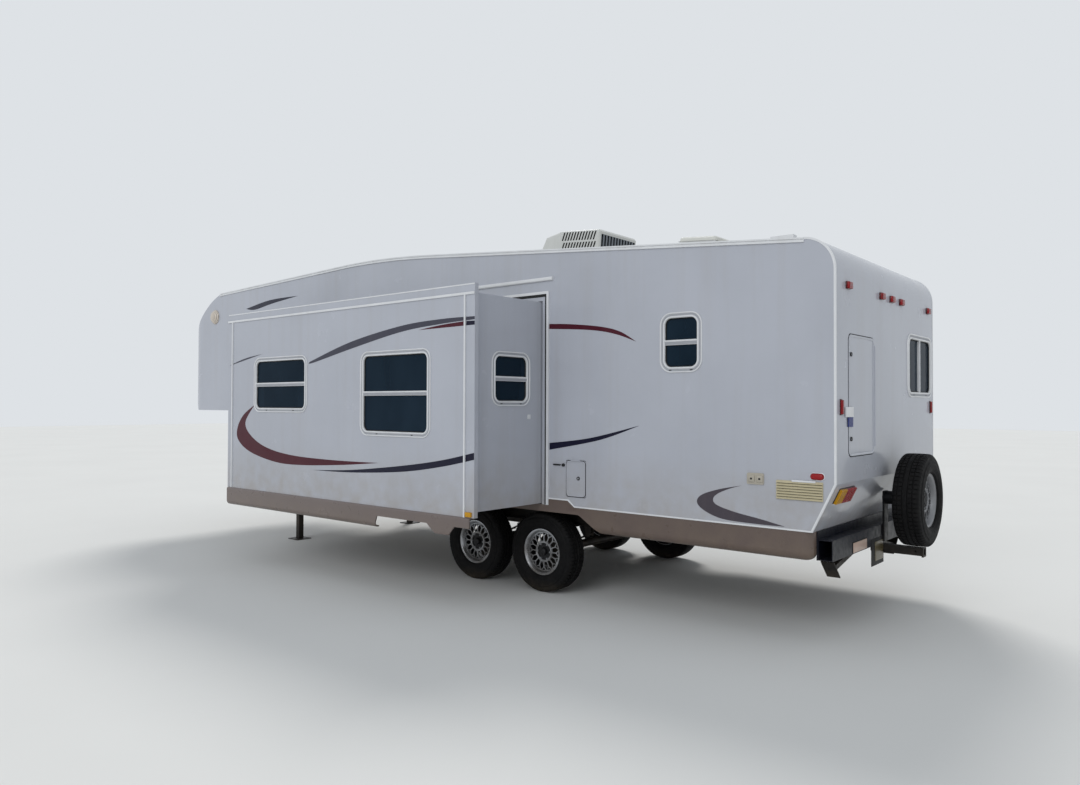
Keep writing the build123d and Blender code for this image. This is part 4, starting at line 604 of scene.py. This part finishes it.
# Windows: wall, range along it, range of heights, how the panes lie, body
LOFT_X = (FRONT_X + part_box("left_wall")[1].x - REAR_X) / 2
WINDOWS = [
    ("left", (1.018, 1.392), (1.940, 2.413), "stacked", "trailer"),
    ("rear", (-1.170, -0.430), (1.760, 2.300), "abreast", "trailer"),
    ("right", (0.900, 1.700), (1.700, 2.300), "stacked", "trailer"),
    ("right", (2.500, 3.700), (1.550, 2.250), "stacked", "trailer"),
    ("right", (LOFT_X - 0.300, LOFT_X + 0.300), (2.150, 2.650), "stacked", "trailer"),
    ("slide_face", (3.076, 4.026), (1.400, 2.165), "stacked", "slide_room"),
    ("slide_face", (4.867, 5.837), (1.600, 2.173), "stacked", "slide_room"),
    ("slide_rear", (HALF_W + 0.160, HALF_W + 0.648), (1.673, 2.138), "stacked", "slide_room"),
]
FRAME_R = 0.100
FRAME_W = 0.045
BAR_TUCK = 0.001  # the bar's ends run this far under the frame
# Section of the frame: distance in from its outer edge, height over the wall. Two ridges and a groove.
FRAME_SECTION = [
    (0.000, 0.000), (0.000, 0.006), (0.002, 0.009), (0.007, 0.010), (0.010, 0.007), (0.012, 0.003),
    (0.028, 0.003), (0.030, 0.007), (0.033, 0.010), (0.040, 0.010), (0.043, 0.007), (0.045, 0.002),
    (0.045, -0.038), (0.0155, -0.038), (0.0155, 0.000),
]
GROOVE_BAND = 5  # of FRAME_SECTION: the groove's floor
GASKET_SECTION = [(0.0445, -0.019), (0.0445, -0.006), (0.049, -0.004), (0.053, -0.010), (0.053, -0.019)]
BAR_SECTION = [
    (-0.020, -0.036), (-0.020, 0.000), (-0.017, 0.003), (0.006, 0.003), (0.009, 0.005), (0.011, 0.008),
    (0.017, 0.008), (0.020, 0.005), (0.020, -0.036),
]
BAR_FLAT = 2  # of BAR_SECTION: the flat between its edges
WEEP_HALF, WEEP_V = 0.012, (0.016, 0.024)  # half the width, and the heights over the window's foot
SLAT_SECTION = [
    (-0.009, -0.010), (-0.004, -0.001), (0.009, 0.010), (0.010, 0.008), (-0.003, -0.004), (-0.008, -0.012),
]
SLATS, SLAT_PITCH = 4, 0.024
SLAT_RISE, SLAT_TUCK = 0.010, 0.010  # how far the slats reach behind the frame, at the top and at the ends
BLIND_BACK = -0.075  # the blind's place, in from the wall's face


def window(label, wall, u, v, panes, body):
    """One window's frame with two ridges and a groove painted grey as shade, the bar with its low flat
    painted the same, the gasket and a blind at the top.
    """
    carrier = "slide_window_frames" if wall.startswith("slide") else "window_frames"
    edge = swept_frame("frame_" + label, wall, u, v, FRAME_R, FRAME_SECTION, TRIM, body)
    count = len(edge.data.polygons) // len(FRAME_SECTION)
    # Painted shade: the groove's floor is painted grey.
    inlaid(edge, range(GROOVE_BAND * count, (GROOVE_BAND + 1) * count), GROOVE_SHADE)
    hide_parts(carrier)
    swept_frame("gasket_" + label, wall, u, v, FRAME_R, GASKET_SECTION, RUBBER_AND_SHADE, body)
    upright = panes == "abreast"
    across, ends = (u, shrunk(v, FRAME_W)) if upright else (v, shrunk(u, FRAME_W - BAR_TUCK))
    mid = (across[0] + across[1]) / 2
    rail = bar("bar_" + label, wall, [(mid + a, o) for a, o in BAR_SECTION], ends, TRIM, body, upright)
    # Painted shade: the bar's low flat is painted grey.
    inlaid(rail, [BAR_FLAT], GROOVE_SHADE)
    weep_v = (v[0] + WEEP_V[0], v[0] + WEEP_V[1])
    for side, share in (("low", 0.25), ("high", 0.75)):
        place = u[0] + share * (u[1] - u[0])
        # Painted shade: a dark strip stands for the shade in each weep hole.
        raised_plate(f"weep_{side}_{label}", wall, around(place, WEEP_HALF), weep_v, 0.003, 0.0025, 0.0036,
                     RUBBER_AND_SHADE, body, edge=0.0004, steps=2)
    blind(label, wall, shrunk(u, FRAME_W - BAR_TUCK - SLAT_TUCK), v[1] - FRAME_W + SLAT_RISE, body)


def blind(label, wall, ends, top, body):
    """The gathered end of a slatted blind, behind the top of the glass."""
    heights = [top - index * SLAT_PITCH for index in range(SLATS)]
    slats = [bar_shape(wall, [(z + a, BLIND_BACK + o) for a, o in SLAT_SECTION], ends) for z in heights]
    piece("blind_" + label, joined(slats), BLIND, body, 30)


for index, (wall, u, v, panes, body) in enumerate(WINDOWS):
    window(f"{wall}_{index}", wall, u, v, panes, body)

# Entry door's window
DOOR_FRAME_SECTION = [
    (0.0, 0.0), (0.0, 0.005), (0.004, 0.008), (0.012, 0.008), (0.016, 0.004), (0.022, 0.004), (0.022, -0.012),
    (0.0152, -0.012), (0.0152, 0.0),
]
swept_frame("frame_entry_door", "right", (4.555, 5.025), (1.885, 2.565), 0.060, DOOR_FRAME_SECTION, TRIM,
            "entry_door_leaf")


# Tyres: a closed ring of sections, with the tread's blocks cut by cross grooves

TREAD_PITCHES = 64
TREAD_DEPTH = 0.008
TREAD_CUT, TREAD_SLOPE = 0.22, 0.05  # shares of a pitch: the cross groove, and each of its sloped sides
TREAD_LEAN = 1.6  # degrees that a cross groove runs on between the middle and a shoulder
SHOULDER_Y = 0.085  # beyond it the cross grooves are half as deep
# Half a section from the bead's bore outwards: radius, distance from the middle, 1 where cross grooves cut
TYRE_SECTION = [
    (0.1902, 0.0728, 0), (0.2090, 0.0820, 0), (0.2150, 0.0925, 0), (0.2190, 0.0985, 0),
    (0.2225, 0.1000, 0), (0.2260, 0.0990, 0), (0.2300, 0.1015, 0), (0.2500, 0.1105, 0), (0.2640, 0.1122, 0),
    (0.2800, 0.1110, 0), (0.2960, 0.1070, 0), (0.2985, 0.1078, 0), (0.3015, 0.1075, 0), (0.3035, 0.1045, 0),
    (0.3220, 0.0995, 0), (0.3250, 0.1005, 0), (0.3420, 0.0945, 1), (0.3520, 0.0870, 1), (0.3568, 0.0790, 1),
    (0.3585, 0.0600, 1), (0.3585, 0.0590, 1), (0.3500, 0.0570, 0), (0.3500, 0.0500, 0), (0.3590, 0.0480, 1),
    (0.3595, 0.0240, 1), (0.3510, 0.0220, 0), (0.3510, 0.0150, 0), (0.3595, 0.0130, 0), (0.3595, 0.0000, 0),
]


def tyre_shape():
    """A tyre about its axle, which is Y."""
    section = TYRE_SECTION + [(radius, -y, cut) for radius, y, cut in reversed(TYRE_SECTION[:-1])]
    places = ((0.0, 0), (1 - TREAD_CUT - TREAD_SLOPE, 0), (1 - TREAD_CUT, 1), (1 - TREAD_SLOPE, 1))
    rings = []
    for pitch in range(TREAD_PITCHES):
        for place, down in places:
            angle = (pitch + place) / TREAD_PITCHES * 2 * pi
            ring = []
            for radius, y, cut in section:
                shift = radians(TREAD_LEAN) * (1 if y > 0 else -1) * cut
                r = radius - TREAD_DEPTH * down * cut * (0.5 if abs(y) > SHOULDER_Y else 1)
                ring.append((r * cos(angle + shift), y, r * sin(angle + shift)))
            rings.append(ring)
    return tube(rings, capped=False)


def placed(shape, centre, side):
    """A wheel's shape with its outer face turned to the given side, moved to its centre."""
    verts, faces = shape
    if side == "rear":
        return [Vector((-y, x, z)) + centre for x, y, z in verts], faces
    sign = 1 if side == "left" else -1
    return [Vector((x * sign, y * sign, z)) + centre for x, y, z in verts], faces


# Rims: barrel and outer lip, spoked web, hub ring and nuts, and a dark hub with its cap

SPOKES = 16
WEB_Y, WEB_THICKNESS = 0.044, 0.011
WEB_R, WEB_BORE_R = 0.1775, 0.078
DISH_R, DISH_SLOPE = 0.15, 0.05  # beyond this radius the web leans inwards
# Gaps between two spokes and in a spoke's fork: radius, half the gap there in degrees
STEM_GAP = [(0.095, 9.0), (0.098, 9.4), (0.136, 9.9), (0.140, 9.5), (0.168, 1.8), (0.1705, 1.2)]
FORK_GAP = [(0.1450, 0.5), (0.1705, 8.5), (0.1726, 8.5)]


def polar(r, degrees):
    """A flat point at a radius and an angle."""
    return (r * cos(radians(degrees)), r * sin(radians(degrees)))


def web_disc():
    """The spoked disc: a flat curve with holes, extruded with soft edges and dished towards the rim."""
    curve = bpy.data.curves.new("web", "CURVE")
    curve.dimensions = "2D"
    curve.fill_mode = "BOTH"
    curve.extrude = WEB_THICKNESS / 2
    curve.bevel_depth = 0.0012
    curve.bevel_resolution = 1

    def closed(points):
        """A closed outline on the curve."""
        spline = curve.splines.new("POLY")
        spline.points.add(len(points) - 1)
        for target, (x, y) in zip(spline.points, points):
            target.co = (x, y, 0, 1)
        spline.use_cyclic_u = True

    for radius, count in ((WEB_R, 96), (WEB_BORE_R, 64)):
        closed([polar(radius, 360 * k / count) for k in range(count)])
    step = 360 / SPOKES
    for k in range(SPOKES):
        for turn, gap in (((k + 0.5) * step, STEM_GAP), (k * step, FORK_GAP)):
            rising = [polar(r, turn + half) for r, half in gap]
            closed([polar(r, turn - half) for r, half in reversed(gap)] + rising)
    obj = bpy.data.objects.new("web", curve)
    bpy.context.collection.objects.link(obj)
    graph = bpy.context.evaluated_depsgraph_get()
    mesh = bpy.data.meshes.new_from_object(obj.evaluated_get(graph))
    verts = []
    for x, y, z in (tuple(v.co) for v in mesh.vertices):
        dish = DISH_SLOPE * max(0, (x * x + y * y) ** 0.5 - DISH_R)
        verts.append((x, WEB_Y + z - dish, y))
    faces = [tuple(p.vertices) for p in mesh.polygons]
    bpy.data.objects.remove(obj)
    bpy.data.meshes.remove(mesh)
    bpy.data.curves.remove(curve)
    return verts, faces


def revolved(profile, count):
    """A closed profile of (radius, y) points, turned about the axle."""
    rings = []
    for k in range(count):
        a = 2 * pi * k / count
        rings.append([(r * cos(a), y, r * sin(a)) for r, y in profile])
    return tube(rings, capped=False)


NUT_CIRCLE_R = 0.070
NUT_SECTION = [(0.0105, 0.036), (0.0105, 0.052), (0.008, 0.056), (0.003, 0.058)]


def nut(angle):
    """A hexagonal nut with a domed end."""
    middle_x, middle_z = polar(NUT_CIRCLE_R, angle)
    rings = []
    for radius, y in NUT_SECTION:
        corners = [polar(radius, 60 * k + angle) for k in range(6)]
        rings.append([(middle_x + x, y, middle_z + z) for x, z in corners])
    return tube(rings, capped=True)


# Profiles of (radius, y) points
RIM_PROFILE = [
    (0.2070, 0.0825), (0.2070, 0.0800), (0.1897, 0.0735), (0.1737, 0.0345), (0.1737, -0.0345),
    (0.1897, -0.0735), (0.2070, -0.0800), (0.2070, -0.0825), (0.2000, -0.0825), (0.1827, -0.0700),
    (0.1667, -0.0345), (0.1667, 0.0345), (0.1790, 0.0560), (0.1830, 0.0700), (0.1905, 0.0790),
    (0.1960, 0.0800), (0.1985, 0.0825),
]
RIM_TURNS = 96
# Painted shade: these bands take the dark hub colour.
INNER_SHADE_BANDS = (8, 9, 10)  # of RIM_PROFILE: the barrel's inside behind the spokes
HUB_RING = [
    (0.0930, 0.051), (0.0915, 0.0545), (0.0865, 0.0545), (0.083, 0.050), (0.080, 0.044), (0.076, 0.040),
    (0.076, 0.030), (0.0930, 0.030),
]
HUB_FACE = [(0.000, 0.0415), (0.077, 0.0415), (0.077, 0.024), (0.000, 0.024)]
CAP = [
    (0.000, 0.0760), (0.024, 0.0755), (0.030, 0.0730), (0.0335, 0.068), (0.0345, 0.060), (0.0355, 0.046),
    (0.0355, 0.040), (0.000, 0.040),
]
OPEN_CENTRE = [(0.030, 0.0425), (0.038, 0.0425), (0.040, 0.0405), (0.030, 0.0405)]
DRUM_PROFILE = [
    (0.000, -0.055), (0.150, -0.055), (0.159, -0.062), (0.159, -0.072), (0.125, -0.084), (0.125, -0.1315),
    (0.000, -0.1315),
]

# Each wheel's label, tyre node, rim node, body and the side that its face looks to
WHEELS = [(label, "tyre_" + label, "rim_" + label, "wheel_" + label, label.split("_")[0])
          for label in ("left_rear", "left_front", "right_rear", "right_front")]
WHEELS.append(("spare", "spare_tyre", "spare_rim", "trailer", "rear"))


def wheels():
    """All five wheels: tyre, bright rim with the barrel's inside painted dark as shade, dark hub and nuts,
    and a drum behind the four that run.
    """
    tread = tyre_shape()
    bright = joined([revolved(RIM_PROFILE, RIM_TURNS), web_disc(), revolved(HUB_RING, RIM_TURNS)])
    barrel_inside_shade = [len(RIM_PROFILE) * turn + band for turn in range(RIM_TURNS) for band in INNER_SHADE_BANDS]
    nuts = joined([nut(60 * k) for k in range(6)])
    drum = revolved(DRUM_PROFILE, 48)
    for label, tyre_node, rim_node, body, side in WHEELS:
        spare = label == "spare"
        low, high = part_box(tyre_node)
        centre = (low + high) / 2
        tyre = piece(f"tyre_{label}_treaded", placed(tread, centre, side), TYRE, body, 50)
        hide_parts(tyre_node)
        rim_mat = DULL_ALLOY if spare else ALLOY
        rim = piece(f"rim_{label}_alloy", placed(bright, centre, side), rim_mat, body, 35)
        # Painted shade: the barrel's inside behind the spokes is painted dark.
        inlaid(rim, barrel_inside_shade, HUB)
        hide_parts(rim_node)
        dark = joined([revolved(HUB_FACE, 48), revolved(OPEN_CENTRE if spare else CAP, 40)])
        piece("hub_" + label, placed(dark, centre, side), HUB, body, 40)
        piece("nuts_" + label, placed(nuts, centre, side), DULL_ALLOY, body, 30)
        if not spare:
            piece("drum_" + label, placed(drum, centre, side), BLACK, body, 40)


wheels()

# Lamps on the rear wall and the side markers: a ribbed lens on a base. The rear lamps' bases are a darker
# red, painted shade for their sides.
SIDES = ((-1, "right"), (1, "left"))
MARKERS_Y = (-1.040, -0.250, 0.000, 0.250, 0.985)
MARKER_Z = (2.508, 2.562)
MARKER_HALF, MARKER_R = 0.040, 0.008
LENS_INSET = 0.002
UPRIGHT_Y = HALF_W - 0.094
for index, y in enumerate(MARKERS_Y):
    u = around(y, MARKER_HALF)
    base = raised_plate(f"marker_base_{index}", "rear", u, MARKER_Z, MARKER_R, 0.0, 0.012, SHADED_RED)
    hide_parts("lamps")
    raised_plate(f"marker_lens_{index}", "rear", shrunk(u, LENS_INSET), shrunk(MARKER_Z, LENS_INSET),
                 MARKER_R, 0.011, 0.028, RED, edge=0.007)
for side, label in SIDES:
    y = side * UPRIGHT_Y
    raised_plate("upright_base_" + label, "rear", around(y, 0.019), (1.619, 1.731), 0.006, 0.0, 0.008,
                 SHADED_RED)
    raised_plate("upright_lens_" + label, "rear", around(y, 0.016), (1.625, 1.725), 0.006, 0.007, 0.020,
                 RED, edge=0.005)
    raised_plate("side_marker_base_" + label, label, (0.075, 0.180), (1.167, 1.221), 0.026, 0.0, 0.006, TRIM)
    raised_plate("side_marker_lens_" + label, label, (0.079, 0.176), (1.171, 1.217), 0.0225, 0.005, 0.020,
                 RED, edge=0.010)

# Tail lamps on the bevel
BEVEL_LOW, BEVEL_TOP, BEVEL_RUN = 0.803, 1.145, 0.167
BEVEL_SLOPE = BEVEL_RUN / (BEVEL_TOP - BEVEL_LOW)
BEVEL_LENGTH = (1 + BEVEL_SLOPE * BEVEL_SLOPE) ** 0.5  # along the face, for each metre of height
RIB_RISE, LENS_EDGE = 0.003, 0.004


def bevel_point(y, z, out):
    """A point on the rear bevel: across, height on its face, out from it."""
    x = (BEVEL_TOP - z) * BEVEL_SLOPE - out / BEVEL_LENGTH
    return at(x, y, z - out * BEVEL_SLOPE / BEVEL_LENGTH)


def tail_lens(name, y, z, mat, ribs, depth=0.026):
    """A block on the bevel whose face is moulded in upright ribs."""
    width = (y[1] - y[0]) / ribs
    columns = []
    for k in range(ribs):
        start = y[0] + (y[1] - y[0]) * k / ribs
        columns += [(start, 0.0), (start + 0.25 * width, RIB_RISE), (start + 0.75 * width, RIB_RISE)]
    columns.append((y[1], 0.0))
    low, high = shrunk(z, LENS_EDGE)
    rings = []
    for across, rise in columns:
        out = depth - RIB_RISE + rise
        edge = out - LENS_EDGE
        section = [(z[0], 0.0), (z[0], edge), (low, out), (high, out), (z[1], edge), (z[1], 0.0)]
        rings.append([bevel_point(across, height, o) for height, o in section])
    return piece(name, tube(rings, capped=True), mat, "trailer", 25)


TAIL_Z = (1.004, 1.106)
TAIL_OUTER_Y, TAIL_AMBER_W, TAIL_W = HALF_W - 0.124, 0.105, 0.292
HOUSING_LAP_Y, HOUSING_LAP_Z = 0.002, 0.004
for side, label in SIDES:
    outer = side * TAIL_OUTER_Y
    split, inner = outer - side * TAIL_AMBER_W, outer - side * TAIL_W
    tail_lens("tail_amber_" + label, sorted((split, outer)), TAIL_Z, AMBER, 6)
    tail_lens("tail_red_" + label, sorted((inner, split)), TAIL_Z, RED, 11)
    housing_y = shrunk(sorted((inner, outer)), -HOUSING_LAP_Y)
    tail_lens("tail_housing_" + label, housing_y, shrunk(TAIL_Z, -HOUSING_LAP_Z), BLACK_PLASTIC, 1, 0.008)

# Doors and hatches: a raised rim on each, and round it a dark ring of painted shade for the gap
RIM_INSET = 0.007
GAP_SHADE_INSET, GAP_SHADE_LAP = 0.003, 0.004
DOOR_GAP_SHADE_SECTION = [(0, -0.004), (0, 0.001), (GAP_SHADE_LAP, 0.001), (GAP_SHADE_LAP, -0.004)]
# Door, wall, range along it, range of heights, corner radius, width of the rim
DOOR_RIMS = [
    ("rear_hatch", "rear", (HALF_W - 0.799, HALF_W - 0.239), (1.320, 2.200), 0.050, 0.016),
    ("service_door", "left", (2.123, 2.340), (0.890, 1.210), 0.030, 0.012),
    ("entry_door", "right", (4.450, 5.130), (0.860, 2.760), 0.060, 0.022),
    ("storage_door", "right", (5.750, 6.450), (0.860, 1.360), 0.030, 0.016),
    ("front_hatch", "front", (-0.500, 0.500), (0.900, 1.480), 0.030, 0.016),
]
for name, wall, u, v, radius, width in DOOR_RIMS:
    leaf = name + "_leaf"
    section = [(0, 0), (0, 0.0025), (0.002, 0.0045), (width - 0.003, 0.0045), (width, 0.002), (width, 0)]
    swept_frame(name + "_rim", wall, shrunk(u, RIM_INSET), shrunk(v, RIM_INSET), radius, section,
                SKIN, leaf, 6)
    # Painted shade: a dark ring stands for the shade in the gap round the door.
    swept_frame(name + "_seal", wall, shrunk(u, GAP_SHADE_INSET), shrunk(v, GAP_SHADE_INSET), radius + GAP_SHADE_LAP,
                DOOR_GAP_SHADE_SECTION, RUBBER_AND_SHADE, leaf, 6)

# Locks
LOCK_R = 0.016
LOCK_SECTION = [(0, 0), (0, 0.006), (0.002, 0.008), (0.006, 0.008), (0.008, 0.0065), (0.008, 0)]


def lock(name, wall, u, v, body):
    """A round lock: a dark ring, with a dark strip of painted shade for its key slot, over the latch's disc.
    """
    swept_frame(name + "_ring", wall, around(u, LOCK_R), around(v, LOCK_R), LOCK_R, LOCK_SECTION,
                BLACK_PLASTIC, body, 6)
    # Painted shade: a dark strip for the shade in the key slot.
    raised_plate(name + "_slot", wall, around(u, 0.002), around(v, 0.006), 0.001, 0.005, 0.0068, RUBBER_AND_SHADE, body,
                 edge=0.0004, steps=2)


LOCKS = [
    ("rear_hatch", "rear", HALF_W - 0.295, 2.051), ("rear_hatch", "rear", HALF_W - 0.295, 1.449),
    ("service_door", "left", 2.204, 1.055), ("storage_door", "right", 5.850, 0.930),
    ("storage_door", "right", 6.350, 0.930), ("front_hatch", "front", -0.400, 0.970),
    ("front_hatch", "front", 0.400, 0.970),
]
for index, (name, wall, u, v) in enumerate(LOCKS):
    lock(f"lock_{index}", wall, u, v, name + "_leaf")

# Black catch beside the service door
raised_plate("catch_bar", "left", (2.397, 2.475), (1.157, 1.169), 0.004, 0.0, 0.016, RUBBER_AND_SHADE, edge=0.004)
raised_plate("catch_knob", "left", (2.350, 2.378), (1.149, 1.177), 0.0139, 0.0, 0.020, RUBBER_AND_SHADE, edge=0.006)

# The outlet plate's two covers, each with a dark strip of painted shade for its slot
for index, u in enumerate((0.548, 0.612)):
    raised_plate(f"outlet_cover_{index}", "left", around(u, 0.024), (1.128, 1.178), 0.006, 0.009, 0.018,
                 BEIGE, edge=0.004)
    # Painted shade: a dark strip for the shade in each outlet's slot.
    raised_plate(f"outlet_slot_{index}", "left", around(u, 0.008), (1.146, 1.160), 0.002, 0.017, 0.0186,
                 RUBBER_AND_SHADE, edge=0.0005)

# The louvre's gaps, each a dark strip of painted shade, and the white strip over it
LOUVRE_U, LOUVRE_V, LOUVRE_SLATS = (0.088, 0.424), (1.022, 1.155), 7
LOUVRE_PITCH = (LOUVRE_V[1] - LOUVRE_V[0]) / LOUVRE_SLATS
GAP_BELOW, GAP_ABOVE = 0.10 * LOUVRE_PITCH, 0.11 * LOUVRE_PITCH
for index in range(LOUVRE_SLATS):
    v = LOUVRE_V[0] + index * LOUVRE_PITCH
    gap_foot = v - GAP_BELOW if index else v
    # Painted shade: a dark strip in each gap between the slats.
    raised_plate(f"louvre_gap_shade_{index}", "left", shrunk(LOUVRE_U, 0.006), (gap_foot, v + GAP_ABOVE), 0.001,
                 0.003, 0.0075, RUBBER_AND_SHADE, edge=0.0005, steps=2)
raised_plate("louvre_strip", "left", (0.138, 0.309), (1.148, 1.162), 0.003, 0.003, 0.014, TRIM, edge=0.003)

# Seal round the slide's opening, just inside its trim
TRIM_W = 0.025
SEAL_OUT, SEAL_W, SEAL_EDGE = 0.006, 0.022, 0.004
SEAL_FOOT_Z = 0.806
HEAD_GAP = 0.0005
SEAL_SECTION = [
    (0, 0.0), (0, SEAL_EDGE), (SEAL_EDGE, SEAL_OUT), (SEAL_W - SEAL_EDGE, SEAL_OUT), (SEAL_W, SEAL_EDGE),
    (SEAL_W, 0.0),
]
trim_low, trim_high = own_box("opening_trim")
inner_x = shrunk((trim_low.x, trim_high.x), TRIM_W)
seal_top = trim_high.z - TRIM_W
for label, edge_x, sign in (("rear", inner_x[0], 1), ("front", inner_x[1], -1)):
    section = [(edge_x + sign * a, o) for a, o in SEAL_SECTION]
    bar("seal_" + label, "left", section, (SEAL_FOOT_Z, seal_top), RUBBER_AND_SHADE, "trailer", upright=True)
section = [(seal_top - SEAL_W + a, o) for a, o in SEAL_SECTION]
bar("seal_head", "left", section, shrunk(inner_x, HEAD_GAP), RUBBER_AND_SHADE, "trailer")

# Bright bead along the slide face's top edge
BEAD_SECTION = [(-0.011, 0.0), (-0.011, 0.003), (-0.003, 0.004), (-0.0005, 0.002), (-0.0005, 0.0)]
BEAD_INSET = 0.001
face_low, face_high = own_box("slide_face")
section = [(face_high.z + a, o) for a, o in BEAD_SECTION]
bead_x = shrunk((face_low.x, face_high.x), BEAD_INSET)
bar("slide_top_bead", "slide_face", section, bead_x, TRIM, "slide_room")

# Amber marker at the slide face's lower rear corner, and the clip on the slide's rear end, painted pale as a
# painted highlight for its glint
raised_plate("slide_marker", "slide_face", (2.585, 2.655), (0.780, 0.820), 0.006, 0.0, 0.016, AMBER,
             "slide_room", edge=0.005)
# Painted highlight: the clip is a real part, and its pale colour stands for the glint on it.
raised_plate("slide_clip_glint", "slide_rear", (1.368, 1.408), (1.560, 1.600), 0.006, 0.0, 0.003, TRIM,
             "slide_room", edge=0.001)

# Small tag and its holder, at the rear hatch's free edge
raised_plate("tag_holder", "rear", (0.900, 1.050), (1.605, 1.677), 0.006, 0.0035, 0.013, TRIM,
             "rear_hatch_leaf")
raised_plate("tag", "rear", (0.900, 1.000), (1.536, 1.607), 0.004, 0.0035, 0.009, BLUE, "rear_hatch_leaf")

# Blank plates at the bumper, each on a dark back: name, material, ranges, height of its back face
PLATE_OUT, PLATE_SINK = 0.0035, 0.0005
bumper_out = REAR_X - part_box("bumper")[0].x
PLATES = [
    ("bumper_plate_back", RUBBER_AND_SHADE, (0.425, 0.735), (0.601, 0.686), -PLATE_SINK),
    ("bumper_plate", ROSE, (0.434, 0.726), (0.608, 0.679), PLATE_OUT - PLATE_SINK),
    ("number_bracket", RUBBER_AND_SHADE, (0.030, 0.320), (0.445, 0.655), -PLATE_SINK),
    ("number_plate", KHAKI, (0.052, 0.240), (0.478, 0.628), PLATE_OUT - PLATE_SINK),
]
for name, mat, u, v, low in PLATES:
    foot = bumper_out + low
    raised_plate(name, "rear", u, v, 0.004, foot, foot + PLATE_OUT, mat, edge=0.001)


# Floor, backdrop, light and camera

FLOOR_HALF = 60.0


def floor():
    """A matt pale floor."""
    mat, tree, shader = new_material("studio_floor")
    base = linear((226, 226, 224))
    tone = ramp(tree, noise(tree, 0.4, 4), [(0.3, toned(base, 0.97)), (0.7, base)])
    tree.links.new(tone, shader.inputs["Base Color"])
    shader.inputs["Roughness"].default_value = 0.9
    shader.inputs["Specular IOR Level"].default_value = 0.1
    corners = [(x * FLOOR_HALF, y * FLOOR_HALF, 0) for x, y in ((-1, -1), (1, -1), (1, 1), (-1, 1))]
    mesh = bpy.data.meshes.new("floor")
    mesh.from_pydata(corners, [], [(0, 1, 2, 3)])
    obj = bpy.data.objects.new("floor", mesh)
    bpy.context.collection.objects.link(obj)
    mesh.materials.append(mat)


def world():
    """Even pale light. The camera, reflections and what shows through see a pale backdrop instead."""
    scene_world = bpy.data.worlds.new("studio")
    bpy.context.scene.world = scene_world
    scene_world.use_nodes = True
    tree = scene_world.node_tree
    tree.nodes.clear()
    out = tree.nodes.new("ShaderNodeOutputWorld")
    lit, seen = tree.nodes.new("ShaderNodeBackground"), tree.nodes.new("ShaderNodeBackground")
    lit.inputs["Color"].default_value = (0.90, 0.95, 1.0, 1)
    lit.inputs["Strength"].default_value = 0.55
    seen.inputs["Color"].default_value = linear((222, 226, 230))
    seen.inputs["Strength"].default_value = 1.0
    path = tree.nodes.new("ShaderNodeLightPath")
    share = path.outputs["Is Camera Ray"]
    for ray in ("Is Glossy Ray", "Is Transmission Ray"):
        share = combined(tree, "MAXIMUM", share, path.outputs[ray])
    joint = tree.nodes.new("ShaderNodeMixShader")
    tree.links.new(share, joint.inputs["Fac"])
    tree.links.new(lit.outputs[0], joint.inputs[1])
    tree.links.new(seen.outputs[0], joint.inputs[2])
    tree.links.new(joint.outputs[0], out.inputs["Surface"])


def sun(name, direction, strength, soft, colour):
    """A far lamp that shines along a direction. Soft is its width in degrees."""
    light = bpy.data.lights.new(name, "SUN")
    light.energy = strength
    light.angle = radians(soft)
    light.color = colour
    obj = bpy.data.objects.new(name, light)
    obj.rotation_euler = Vector(direction).to_track_quat("-Z", "Y").to_euler()
    bpy.context.collection.objects.link(obj)


# The camera as solved from the photograph: 1080 by 785, focal length in its pixels
IMAGE_W = 1080
FOCAL_PX = 807.47
SENSOR = 36.0
CAMERA = (-1.9995, 6.7353, 1.6838)
YAW, PITCH, ROLL = radians(40.046), radians(0.885), radians(0.184)


def camera():
    """The camera, which looks along its own -Z."""
    data = bpy.data.cameras.new("camera")
    data.sensor_width = SENSOR
    data.lens = FOCAL_PX / IMAGE_W * SENSOR
    data.clip_end = 300
    obj = bpy.data.objects.new("camera", data)
    bpy.context.collection.objects.link(obj)
    forward = Vector((sin(YAW) * cos(PITCH), -cos(YAW) * cos(PITCH), sin(PITCH)))
    right = Vector((-cos(YAW), -sin(YAW), 0))
    up = right.cross(forward)
    across = cos(ROLL) * right + sin(ROLL) * up
    above = -sin(ROLL) * right + cos(ROLL) * up
    matrix = obj.matrix_world.copy()
    for row in range(3):
        matrix[row][0], matrix[row][1], matrix[row][2] = across[row], above[row], -forward[row]
        matrix[row][3] = at(*CAMERA)[row]
    obj.matrix_world = matrix
    bpy.context.scene.camera = obj


floor()
world()
sun("key", (-0.55, 0.75, -1.0), 1.5, 18, (1.0, 0.98, 0.95))
sun("fill", (0.12, -0.95, -0.5), 0.8, 40, (0.96, 0.98, 1.0))
camera()
bpy.context.scene.view_settings.view_transform = "Standard"
